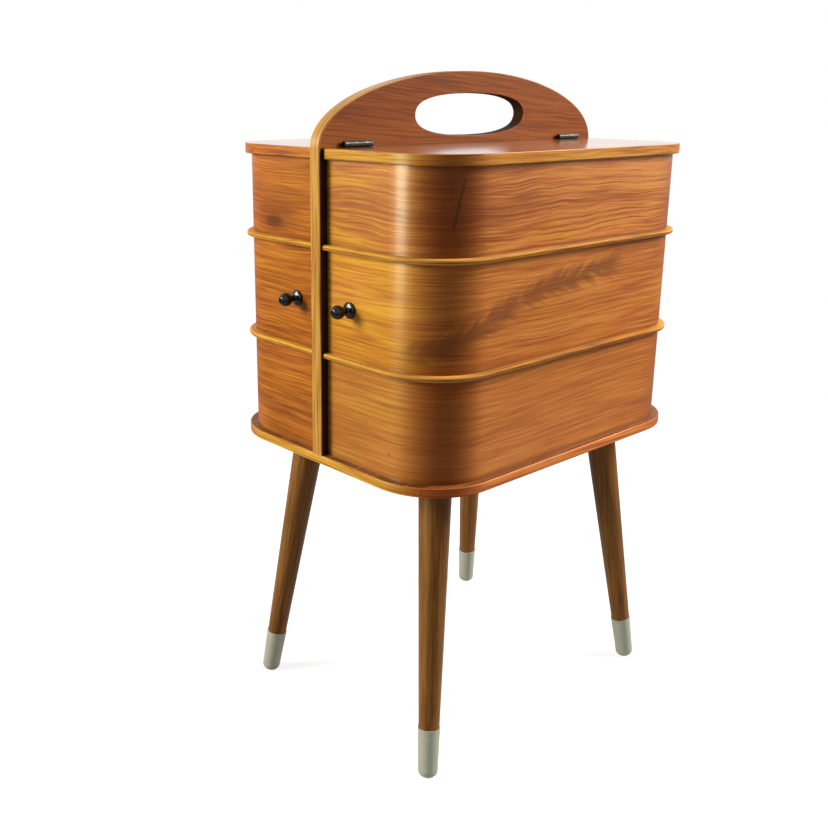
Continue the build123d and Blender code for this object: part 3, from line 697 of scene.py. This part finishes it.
# %% [markdown]
# ## Lids
# The lids carry the hardest gloss: a soft mirror that gives back the panel and the window. A mirror shader
# laid over the wood would hide its grain, so the same lacquer only gets a smoother and fuller coat than on
# the walls. Towards the hinge the lids have no band, and the pale layers of the board show.

# %% Lid finish
LID_VENEER = tones((110, 50, 8), (150, 80, 18), (174, 102, 28))
LID_LAYERS = tones((204, 160, 104), (158, 108, 62))
LID_PLIES = 5
LID_THICK = 9.8 * MM
LID_RELIEF = 0.015 * MM
GLOSS_LACQUER = {**LACQUER, "Specular IOR Level": 0.3, "Coat Roughness": 0.11}


def make_lid_material(name, seed, inner_edge):
    """Glossy veneer with pale board layers at its inner edge."""
    material, tree, (x, y, z) = start_material(name)
    fibres = grain(y, x, z * 0.2, seed, wander=8 * MM)
    sawn = step(abs(x), inner_edge + 0.3 * MM, inner_edge + 0.1 * MM)
    layers = mix(ply_stripes((LID_TOP - z) / LID_THICK, LID_PLIES), *LID_LAYERS)
    colour = mix(sawn, wood_colour(fibres, LID_VENEER), layers)
    polish = handled(x, y, z, seed)
    finish = {**GLOSS_LACQUER, "Coat Weight": 1.1 - polish * 0.2}
    close_material(tree, colour, 0.36 + polish * 0.14, fibres[0], LID_RELIEF, finish)
    return material


for side_name, seed in (("left", 130.0), ("right", 136.0)):
    lid = f"lid_board_{side_name}"
    inner_edge = min(abs(corner.x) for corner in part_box(lid))
    finish_node(lid, make_lid_material(f"veneer_{lid}", seed, inner_edge))
    print(lid, "finished, inner edge at", round(inner_edge / MM, 2), "mm from the middle")

# %% [markdown]
# ## Panel and inner boards
# The panel is veneered above the lids and black below them, where only a narrow strip of it shows between
# the band and the trays. The inside of the hand hole is black too. Three materials on its faces would cut
# the mesh up, so masks on height and depth do it in one. Its grain leans a few degrees, as veneer laid by
# hand does.

# %% Panel finish
PANEL_VENEER = tones((102, 44, 8), (132, 62, 14), (150, 78, 24))
PANEL_BLACK = tones((18, 10, 5), (38, 25, 15))
PANEL_LEAN = radians(4)


def make_panel_material(name, seed):
    """Veneer above the lids, black below them and inside the hand hole."""
    material, tree, (x, y, z) = start_material(name)
    along = y * cos(PANEL_LEAN) - z * sin(PANEL_LEAN)
    across = z * cos(PANEL_LEAN) + y * sin(PANEL_LEAN)
    tone, streaks, pores = grain(along, across, x, seed, wander=4 * MM, line=2.2 * MM, band=14 * MM)
    polish = handled(x, y, z, seed)
    below = step(z, LID_TOP + 0.4 * MM, LID_TOP - 0.4 * MM)
    in_hole = step(abs(x), PANEL_HALF - 0.02 * MM, PANEL_HALF - 0.15 * MM)
    # Below the lids and inside the hand hole the panel is coloured black.
    darkened = mix(polish, *PANEL_BLACK)
    veneer = wood_colour((tone, streaks * 0.4, pores), PANEL_VENEER)
    colour = mix(larger(below, in_hole * 0.96), veneer, darkened)
    coat = (0.2 - polish * 0.1) * (1 - larger(below * 0.6, in_hole))
    close_wood(tree, colour, (tone, streaks, pores), polish + in_hole * 2.4, coat, SATIN)
    return material


finish_node("central_panel", make_panel_material("veneer_panel", seed=120.0))
print("panel finished, black below", round(LID_TOP, 3), "m")

# %% [markdown]
# The boards hidden behind the panel, the base and the blocks that carry the rods are plain wood that few see.
# They need no design of their own, only grain that runs the way each board was cut, so one function turns it.

# %% Board finishes
BASE_VENEER = tones((96, 48, 16), (134, 76, 30), (154, 98, 46))
BLOCK_WOOD = tones((150, 104, 62), (190, 144, 96), (210, 170, 124))


def make_board_material(name, seed, shades, turn, coat, finish):
    """Board whose grain runs along y if it lies flat or stands beside the panel, and up z if it is a post."""
    material, tree, (x, y, z) = start_material(name)
    run = {"flat": (y, x, z), "upright": (y, z, x), "post": (z, x, y)}[turn]
    fibres = grain(*run, seed)
    close_wood(tree, wood_colour(fibres, shades), fibres, handled(x, y, z, seed), coat, finish)
    return material


finish_node("base_plate", make_board_material("veneer_base", 126.0, BASE_VENEER, "flat", 0.1, DRY_WOOD))
for side_name, seed in (("left", 190.0), ("right", 196.0)):
    block = f"pivot_block_{side_name}"
    wood = make_board_material(f"wood_{block}", seed, BLOCK_WOOD, "post", 0.05, RUBBED_WOOD)
    finish_node(block, wood)
    for number, tier in enumerate(TIERS):
        board = f"{tier}_inner_board_{side_name}"
        wood = make_board_material(f"wood_{board}", seed + 10 + number, LINING, "upright", 0.15, RUBBED_WOOD)
        finish_node(board, wood)
    print("boards finished:", side_name)

# %% [markdown]
# ## Legs and caps
# A turned leg is cut from one stick, so its lines run up its own leaning axis and show as long ovals on the
# sides. Grain that ran straight up would look like a print on a leg that leans, so the place is measured
# along the leg's axis and square to it, from the middle of its box. The lacquer is thin and nearly matt. The
# plastic caps are pale and scuffed, more so towards the floor.

# %% Leg and cap finishes
LEG_WOOD = tones((98, 58, 22), (128, 80, 32), (144, 96, 42))
# How far the tip of a leg stands out from its top, and below it, in millimetres.
LEG_SPLAY = Vector((36, 38.2, -302.5))
LEG_SIDES = {
    "front_left": (-1, -1),
    "front_right": (1, -1),
    "back_left": (-1, 1),
    "back_right": (1, 1),
}
PLASTIC = {"Specular IOR Level": 0.4, "Coat Weight": 0.0}
CAP_TONES = tones((172, 172, 150), (190, 189, 168))
SCUFF = paint(128, 122, 104)
SCUFFED_BELOW = 22 * MM
CAP_RELIEF = 0.02 * MM


def make_leg_material(name, seed, side, end):
    """Solid wood with its grain along the leg's own axis."""
    material, tree, (x, y, z) = start_material(f"wood_{name}")
    low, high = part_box(name)
    middle = (low + high) / 2
    down = Vector((side * LEG_SPLAY.x, end * LEG_SPLAY.y, LEG_SPLAY.z)).normalized()
    sideways = down.cross(Vector((0, 1, 0))).normalized()
    axes = (down, sideways, down.cross(sideways))
    off = (x - middle.x, y - middle.y, z - middle.z)
    run = [off[0] * axis.x + off[1] * axis.y + off[2] * axis.z for axis in axes]
    tone, streaks, pores = grain(*run, seed, wander=3 * MM, line=2.2 * MM, band=12 * MM)
    soft = wood_colour((tone, streaks * 0.4, pores * 0.5), LEG_WOOD)
    close_wood(tree, soft, (tone, streaks, pores), handled(x, y, z, seed), 0.15, SATIN)
    return material


def make_cap_material(name, seed):
    """Pale moulded plastic with fine scuffs that gather at the floor."""
    material, tree, (x, y, z) = start_material(f"plastic_{name}")
    cloud = speckle((x, y, z), 60.0, seed)
    scratch = noise(vector((x + y) * 900.0, (x - y) * 900.0, z * 120.0), seed + 1, detail=2.0)
    low = step(z, SCUFFED_BELOW, 2 * MM)
    scuffs = step(scratch, 0.6, 0.68) * (0.25 + low * 0.6)
    colour = mix(scuffs, mix(cloud, *CAP_TONES), SCUFF)
    close_material(tree, colour, 0.42 + scuffs * 0.3 + cloud * 0.08, scratch, CAP_RELIEF, PLASTIC)
    return material


for number, (name, (side, end)) in enumerate(LEG_SIDES.items()):
    finish_node(f"leg_{name}", make_leg_material(f"leg_{name}", 150.0 + 6 * number, side, end))
    finish_node(f"foot_cap_{name}", make_cap_material(f"foot_cap_{name}", 175.0 + 3 * number))
print("legs finished:", len(LEG_SIDES))

# %% [markdown]
# ## Knobs and metal
# The knobs are turned wood under black lacquer so thick that no grain shows. Plain black would look like
# plastic, so the lacquer has the faint orange peel of a sprayed coat and a few dull touches of fingers.

# %% Knob finish
KNOB_FINISH = {"Coat Weight": 0.6, "Coat Roughness": 0.05, "Specular IOR Level": 0.1}
BLACK_LACQUER = tones((6, 4, 3), (14, 10, 8))
PEEL_RELIEF = 0.015 * MM


def make_knob_material(name):
    """Thick black lacquer, faintly uneven, with a few dull touches."""
    material, tree, place = start_material(name)
    orange_peel = speckle(place, 500.0, 3.0, detail=2.0)
    touched = speckle(place, 120.0, 4.0)
    colour = mix(touched, *BLACK_LACQUER)
    close_material(tree, colour, 0.24 + touched * 0.16, orange_peel, PEEL_RELIEF, KNOB_FINISH)
    return material


KNOB_LACQUER = make_knob_material("lacquer_knob_black")
print("knob lacquer ready, relief", round(PEEL_RELIEF / MM, 3), "mm")

# %% [markdown]
# The hinges are blackened steel, rubbed bright on top of their knuckles. Screws, rods and plates are zinc and
# bare steel, and the bushes are brass. Plain grey would do from afar, but fine brushing and dull patches are
# what make metal look worked. Bright metals differ only in colour and roughness, so one function makes them,
# and the blackened steel adds its rubbed spots.

# %% Metals
METAL_FINISH = {"Specular IOR Level": 0.5}
BLACKENED = tones((8, 7, 6), (20, 17, 14))
RUBBED_BRIGHT = paint(112, 106, 88)
BRUSHED_RELIEF = 0.01 * MM


def brushed(x, y, z, seed):
    """Fine brushing drawn out along y."""
    return noise(vector(x * 2600.0, y * 260.0, z * 2600.0), seed, detail=2.0)


def make_metal_material(name, colour, dull, roughness):
    """Metal with fine brushing and dull patches."""
    material, tree, (x, y, z) = start_material(name)
    patches = speckle((x, y, z), 140.0, 5.0)
    shade = mix(step(patches, 0.35, 0.65), colour, dull)
    finish = {**METAL_FINISH, "Metallic": 1.0}
    rough = roughness + patches * 0.14
    close_material(tree, shade, rough, brushed(x, y, z, 6.0), BRUSHED_RELIEF, finish)
    return material


def make_black_steel_material(name, bright_above):
    """Blackened steel, rubbed bright in spots above a height."""
    material, tree, (x, y, z) = start_material(name)
    patches = speckle((x, y, z), 220.0, 7.0)
    rubbed = step(z, bright_above - 1.5 * MM, bright_above) * step(patches, 0.52, 0.62)
    shade = mix(rubbed, mix(patches, *BLACKENED), RUBBED_BRIGHT)
    finish = {**METAL_FINISH, "Metallic": 0.4 + rubbed * 0.6}
    close_material(tree, shade, 0.3 + patches * 0.2, brushed(x, y, z, 8.0), BRUSHED_RELIEF, finish)
    return material


HINGE_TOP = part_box("hinge_pins")[1].z
BLACK_STEEL = make_black_steel_material("steel_blackened", HINGE_TOP)
ZINC = make_metal_material("steel_zinc", paint(196, 194, 188), paint(150, 146, 138), 0.3)
BARE_STEEL = make_metal_material("steel_bare", paint(178, 178, 176), paint(136, 134, 130), 0.24)
BRASS = make_metal_material("brass_turned", paint(206, 168, 96), paint(160, 122, 62), 0.26)
print("hinge steel rubbed bright above", round(HINGE_TOP - 1.5 * MM, 4), "m")

# %% [markdown]
# Most fittings come in pairs, one on each side, and a few nodes hold all of a kind. A line for each would do,
# but two small tables say at a glance which finish each fitting has, and none is missed.

# %% Which fitting has which finish
PAIRED = {
    "knob": KNOB_LACQUER,
    "knob_screw": ZINC,
    "pivot_rod": BARE_STEEL,
    "pivot_bushes": BRASS,
    "hinge_panel_leaves": BLACK_STEEL,
    "hinge_lid_leaves": BLACK_STEEL,
}
SINGLE = {
    "hinge_pins": BLACK_STEEL,
    "hanger_bolts": ZINC,
    "rod_nuts": ZINC,
    "rod_collars": BARE_STEEL,
    "leg_plates": BARE_STEEL,
}
METAL_PIECES = {f"{piece}_{side}": metal for piece, metal in PAIRED.items() for side in SIDES} | SINGLE
for name, metal in METAL_PIECES.items():
    finish_node(name, metal)
print("fittings finished:", len(METAL_PIECES))

# %% [markdown]
# ## Wood screws
# The solids hold each screw as a plain peg with a cone on it. The real ones are slotted, with a thread that
# winds to a point. One could be modelled by hand and copied, but there are dozens in four lengths, so they
# are made once by Geometry Nodes and set on points. The thread is a rule rather than a sweep: a fine tube
# whose radius rises and falls with height and angle. The same tree makes every size, because its sizes are
# named inputs, and a fixed seed turns each slot its own way.

# %% One screw as a rule
THREAD_SHARE = 0.26
POINT_LENGTH = 2.4
POINT_TIP = 0.1
UNDER_HEAD = 0.7
TUBE_SIDES = 16
SHARP_EDGE = radians(40)


def between(value, start, end, first=0.0, last=1.0):
    """A straight ramp from first at start to last at end, flat outside them."""
    inputs = {"Value": value, "From Min": start, "From Max": end, "To Min": first, "To Max": last}
    return make(value.tree, "ShaderNodeMapRange", None, inputs)


def screw_radius(depth, turn, sizes):
    """Radius of a screw at a depth under its face and a share of a turn round it."""
    shank, length = sizes["Shank Radius"], sizes["Length"]
    ridge = depth.math("PINGPONG", depth / sizes["Pitch"] + turn, 0.5) * 2
    thread = between(depth, sizes["Head Depth"] + 0.4 * MM, sizes["Head Depth"] + 1.2 * MM) * (ridge - 1)
    point = between(depth, length, length - shank * POINT_LENGTH, first=POINT_TIP)
    body = shank * (thread * THREAD_SHARE + 1) * point
    head = between(depth, 0.25 * MM, sizes["Head Depth"], sizes["Head Radius"], shank * UNDER_HEAD)
    return larger(head, body)


def make_screw(tree, sizes):
    """One slotted countersunk screw, its face at z = 0 and its point below."""
    form = {"Vertices": TUBE_SIDES, "Side Segments": sizes["Rings"], "Radius": 1.0, "Depth": sizes["Length"]}
    tube = make(tree, "GeometryNodeMeshCylinder", {"fill_type": "TRIANGLE_FAN"}, form)
    place = make(tree, "GeometryNodeInputPosition")
    x, y, z = make(tree, "ShaderNodeSeparateXYZ", None, (place,), output=None)
    depth = sizes["Length"] * 0.5 - z
    radius = screw_radius(depth, x.math("ARCTAN2", y, x) / (2 * pi), sizes)
    moved = {"Geometry": tube, "Position": vector(x * radius, y * radius, 0 - depth)}
    shaped = make(tree, "GeometryNodeSetPosition", None, moved)
    block = {"Size": vector(sizes["Head Radius"] * 3, sizes["Slot Width"], sizes["Slot Depth"] * 2)}
    slot = make(tree, "GeometryNodeMeshCube", None, block)
    cut = {"operation": "DIFFERENCE", "solver": "EXACT"}
    slotted = make(tree, "GeometryNodeMeshBoolean", cut, {"Mesh 1": shaped, "Mesh 2": slot})
    smooth = make(tree, "GeometryNodeSetShadeSmooth", {"domain": "FACE"}, {"Geometry": slotted})
    angle = make(tree, "GeometryNodeInputMeshEdgeAngle")
    is_sharp = angle.math("GREATER_THAN", angle, SHARP_EDGE)
    edges = {"Geometry": smooth, "Selection": is_sharp, "Shade Smooth": False}
    return make(tree, "GeometryNodeSetShadeSmooth", {"domain": "EDGE"}, edges)


print("screw: thread", THREAD_SHARE, "of the shank deep, point", POINT_LENGTH, "shanks long")

# %% [markdown]
# The tree sets that screw on every point of a mesh. A rotation could be kept for each point, but a screw is
# the same all round, so each point carries only the direction that its screw faces. The instances become real
# geometry at the end, because an export drops them.

# %% The tree of screws
SCREW_SIZES = ("Head Radius", "Head Depth", "Shank Radius", "Length", "Pitch", "Slot Width", "Slot Depth")
SCREW_INPUTS = {**dict.fromkeys(SCREW_SIZES, "Float"), "Rings": "Int", "Seed": "Int", "Finish": "Material"}


def make_screw_tree():
    """Geometry Nodes tree that puts a screw on each point, facing its outward direction."""
    tree = bpy.data.node_groups.new("slotted_wood_screws", "GeometryNodeTree")
    tree.interface.new_socket("Geometry", in_out="INPUT", socket_type="NodeSocketGeometry")
    for name, kind in SCREW_INPUTS.items():
        tree.interface.new_socket(name, in_out="INPUT", socket_type=f"NodeSocket{kind}")
    tree.interface.new_socket("Geometry", in_out="OUTPUT", socket_type="NodeSocketGeometry")
    sizes = {wire.socket.name: wire for wire in make(tree, "NodeGroupInput", output=None)}
    named = make(tree, "GeometryNodeInputNamedAttribute", {"data_type": "FLOAT_VECTOR"}, {"Name": "outward"})
    facing = make(tree, "FunctionNodeAlignRotationToVector", {"axis": "Z"}, {"Vector": named})
    spin = {2: 0.0, 3: 2 * pi, "Seed": sizes["Seed"]}
    angle = make(tree, "FunctionNodeRandomValue", {"data_type": "FLOAT"}, spin, output=1)
    twist = make(tree, "FunctionNodeAxisAngleToRotation", None, {"Axis": (0, 0, 1), "Angle": angle})
    turned = make(tree, "FunctionNodeRotateRotation", {"rotation_space": "LOCAL"}, (facing, twist))
    placed = {"Points": sizes["Geometry"], "Instance": make_screw(tree, sizes), "Rotation": turned}
    screws = make(tree, "GeometryNodeInstanceOnPoints", None, placed)
    real = make(tree, "GeometryNodeRealizeInstances", None, {"Geometry": screws})
    finished = make(tree, "GeometryNodeSetMaterial", None, {"Geometry": real, "Material": sizes["Finish"]})
    make(tree, "NodeGroupOutput", None, {"Geometry": finished}, output=None)
    return tree


SCREW_TREE = make_screw_tree()
print("screw tree:", len(SCREW_TREE.nodes), "nodes")

# %% [markdown]
# Every set of screws stands for one CAD node and rides with that node's body. A live modifier would be
# evaluated again in every pose, so its result is taken as a plain mesh and the modifier goes.

# %% Sets of screws
SIZE_UNITS = {"NodeSocketFloat": MM, "NodeSocketInt": 1}


def make_screws(name, body, places, sizes):
    """Screws at (place, outward) pairs in millimetres, in place of the CAD node of that name."""
    mesh = bpy.data.meshes.new(f"slotted_{name}")
    mesh.from_pydata([Vector(place) * MM for place, outward in places], [], [])
    directions = mesh.attributes.new("outward", "FLOAT_VECTOR", "POINT")
    for element, (place, outward) in zip(directions.data, places):
        element.vector = outward
    piece = add_to_scene(f"slotted_{name}", mesh)
    modifier = piece.modifiers.new("screws", "NODES")
    modifier.node_group = SCREW_TREE
    for socket in SCREW_TREE.interface.items_tree:
        if socket.name in sizes:
            unit = SIZE_UNITS.get(socket.socket_type)
            modifier[socket.identifier] = sizes[socket.name] * unit if unit else sizes[socket.name]
    evaluated = piece.evaluated_get(bpy.context.evaluated_depsgraph_get())
    piece.data = bpy.data.meshes.new_from_object(evaluated)
    piece.modifiers.remove(modifier)
    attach(piece, body)
    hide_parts(name)
    low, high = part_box(name)
    own = [Vector([pick(v.co[n] for v in piece.data.vertices) for n in range(3)]) for pick in (min, max)]
    off = max((own[0] - low).length, (own[1] - high).length)
    print(piece.name, len(places), "screws", len(piece.data.polygons), "faces, off by mm", round(off / MM, 2))


WOOD_SCREW = {"Head Radius": 3.4, "Head Depth": 2.0, "Shank Radius": 1.8, "Pitch": 1.5}
WOOD_SLOT = {"Slot Width": 0.9, "Slot Depth": 0.9, "Finish": ZINC}
HINGE_SCREW = {"Head Radius": 1.8, "Head Depth": 0.9, "Shank Radius": 1.0, "Pitch": 0.8}
HINGE_SLOT = {"Slot Width": 0.5, "Slot Depth": 0.4, "Finish": BLACK_STEEL}


def wood_screw(length, seed):
    """Sizes of a wood screw of a length in millimetres, with four rings of points to each."""
    return {**WOOD_SCREW, **WOOD_SLOT, "Length": length, "Rings": round(length * 4), "Seed": seed}


def hinge_screw(seed):
    """Sizes of a hinge screw, 6 mm long."""
    return {**HINGE_SCREW, **HINGE_SLOT, "Length": 6.0, "Rings": 30, "Seed": seed}


print("wood screws", 2 * WOOD_SCREW["Head Radius"], "mm over the head")

# %% [markdown]
# The places follow the drilling of the boards, in millimetres: rows across the inner boards, a row under the
# panel, four round each leg, and pairs in the hinges. They could be read off the solids one by one, but a row
# is clearer as its numbers. A board screw on one side stands clear of its neighbour's point on the other.

# %% Places of the screws
# Faces, rows and columns are measured from the carrier's middle, and heights from the floor.
DOWN = (0, 0, -1)
MIDDLE = MIDDLE_Y / MM
BOARD_FACE = 11.75
BOARD_SHIFT = 12
BOARD_HEIGHTS = (360.5, 556.75)
BOARD_ROWS = (-120, 0, 120)
PANEL_ROWS = (-150, -50, 50, 150)
BASE_FACE = 302.5
LEG_X = 94.3
LEG_Y = 131.6
PLATE_FACE = 300.5
PLATE_CORNERS = (-22, 22)
HINGE_Y = 158
HINGE_HOLE = 11
HINGE_HEIGHT = 601.0
PANEL_LEAF_FACE = 7.65
LID_LEAF_FACE = 8.25

board_places = [
    ((side * BOARD_FACE, MIDDLE + row + side * BOARD_SHIFT, height), (side, 0, 0))
    for side in (-1, 1)
    for height in BOARD_HEIGHTS
    for row in BOARD_ROWS
]
panel_places = [((0, MIDDLE + row, BASE_FACE), DOWN) for row in PANEL_ROWS]
plate_places = [
    ((side * LEG_X + across, MIDDLE + end * LEG_Y + along, PLATE_FACE), DOWN)
    for side, end in LEG_SIDES.values()
    for across in PLATE_CORNERS
    for along in PLATE_CORNERS
]
hinge_rows = [MIDDLE + end * HINGE_Y + turn * HINGE_HOLE for end in (-1, 1) for turn in (-1, 1)]
panel_hinge_places = [
    ((side * PANEL_LEAF_FACE, row, HINGE_HEIGHT), (side, 0, 0))
    for side in (-1, 1)
    for row in hinge_rows
]

make_screws("board_screws", "carrier", board_places, wood_screw(11.0, seed=3))
make_screws("panel_screws", "carrier", panel_places, wood_screw(38.0, seed=4))
make_screws("plate_screws", "carrier", plate_places, wood_screw(8.5, seed=5))
make_screws("hinge_panel_screws", "carrier", panel_hinge_places, hinge_screw(seed=6))
for side_name, side in SIDES.items():
    places = [((side * LID_LEAF_FACE, row, HINGE_HEIGHT), (-side, 0, 0)) for row in hinge_rows]
    node = f"hinge_lid_screws_{side_name}"
    make_screws(node, f"lid_{side_name}", places, hinge_screw(seed=7))

# %% [markdown]
# ## Studio
# The room is a white backdrop over a pale floor. White could come from strong lamps, but they would burn out
# the wood, so it is a colour that only rays from the camera, a gloss or a glass see. The room is dim to the
# rest, so it adds no flat light, and the floor still takes the carrier's shadow.

# %% Room
WHITE = (1, 1, 1, 1)
BLACK = (0, 0, 0, 1)
FLOOR_GREY = (0.42, 0.42, 0.42, 1)
FLOOR_RADIUS = 8.0
FLOOR_SIDES = 48
FLOOR_DROP = 0.1 * MM
FLOOR_GLOW = 0.78
FLOOR_FADE = (0.5, 1.5)


def seen_by_eye(tree, gloss=1.0):
    """1 for camera and transmission rays, gloss for glossy ones, 0 for the rest."""
    camera, glossy, glass = [
        make(tree, "ShaderNodeLightPath", output=f"Is {kind} Ray")
        for kind in ("Camera", "Glossy", "Transmission")
    ]
    return smaller(camera + glossy * gloss + glass, 1.0)


def make_world(sky):
    """White to the eye, a dim sky to everything else."""
    world = bpy.data.worlds.new("studio")
    world.use_nodes = True
    tree = world.node_tree
    tree.nodes.clear()
    seen = seen_by_eye(tree)
    strength = seen + (1 - seen) * sky
    background = make(tree, "ShaderNodeBackground", None, {"Color": WHITE, "Strength": strength})
    make(tree, "ShaderNodeOutputWorld", None, {"Surface": background}, output=None)
    bpy.context.scene.world = world


def make_floor():
    """Pale round floor that takes the carrier's shadow and fades to white away from it."""
    mesh = bpy.data.meshes.new("floor")
    turns = [2 * pi * n / FLOOR_SIDES for n in range(FLOOR_SIDES)]
    corners = [(FLOOR_RADIUS * cos(turn), FLOOR_RADIUS * sin(turn), -FLOOR_DROP) for turn in turns]
    mesh.from_pydata(corners, [], [range(FLOOR_SIDES)])
    floor = add_to_scene("floor", mesh)
    material, tree, (x, y, _) = start_material("floor_pale")
    far = step((x * x + y * y) ** 0.5, *FLOOR_FADE)
    strength = seen_by_eye(tree, gloss=0.15) * (FLOOR_GLOW + far * (1 - FLOOR_GLOW))
    glow = make(tree, "ShaderNodeEmission", None, {"Color": WHITE, "Strength": strength})
    matt = make(tree, "ShaderNodeBsdfDiffuse", None, {"Color": mix(far, FLOOR_GREY, BLACK)})
    both = make(tree, "ShaderNodeAddShader", None, (glow, matt))
    make(tree, "ShaderNodeOutputMaterial", None, {"Surface": both}, output=None)
    mesh.materials.append(material)


make_world(sky=0.12)
make_floor()
print("floor of", FLOOR_SIDES, "sides,", FLOOR_RADIUS, "m in radius")

# %% [markdown]
# Two broad soft lamps face each other across the carrier. Each lights one end and one side, so that every
# outer face gets its share while the corners between them stay deep, which is what shows that they are round.
# More lamps would light those too and flatten them. A tall soft card on the near side shows only in the
# gloss, as a window would. From behind, its glare would lie over the panel and the left walls and wash them
# out, so light linking keeps it off them, as a black flag on a stand does in a real studio.

# %% Lamps
LAMP_AIM = Vector((0, 0, 0.42))
WARM_WHITE = (1.0, 0.97, 0.92)
WINDOW = (0.84, 1.0, 0.84)
UNLIT_BY_CARD = [name for name in WALLS if name.endswith("left")]


def make_light(name, direction, distance, size, power, colour=(1, 1, 1)):
    """Soft rectangular light that faces the carrier from a direction; size is its width and height."""
    data = bpy.data.lights.new(name, "AREA")
    data.shape = "RECTANGLE"
    data.size, data.size_y = size
    data.energy = power
    data.color = colour
    light = add_to_scene(name, data)
    light.location = LAMP_AIM + Vector(direction).normalized() * distance
    light.rotation_euler = (LAMP_AIM - light.location).to_track_quat("-Z", "Y").to_euler()
    print(name, "at", [round(v, 2) for v in light.location], "with", power, "W")
    return light


def keep_off(light, names):
    """Flag a light off these CAD nodes."""
    flag = bpy.data.collections.new(f"{light.name}_flag")
    for name in names:
        flag.objects.link(NODES[name])
    for shaded in flag.collection_objects:
        shaded.light_linking.link_state = "EXCLUDE"
    light.light_linking.receiver_collection = flag


make_light("end_light", (-0.50, -0.80, 0.36), distance=2.2, size=(0.8, 0.8), power=50, colour=WARM_WHITE)
make_light("side_light", (0.50, 0.66, 0.55), distance=2.2, size=(1.0, 1.0), power=70)
card = make_light("card", (-0.267, -0.964, 0.14), distance=1.9, size=(0.6, 0.9), power=50, colour=WINDOW)
card.visible_diffuse = False
keep_off(card, ["central_panel", "panel_edge_band", *UNLIT_BY_CARD])
bpy.context.scene.view_settings.view_transform = "Standard"
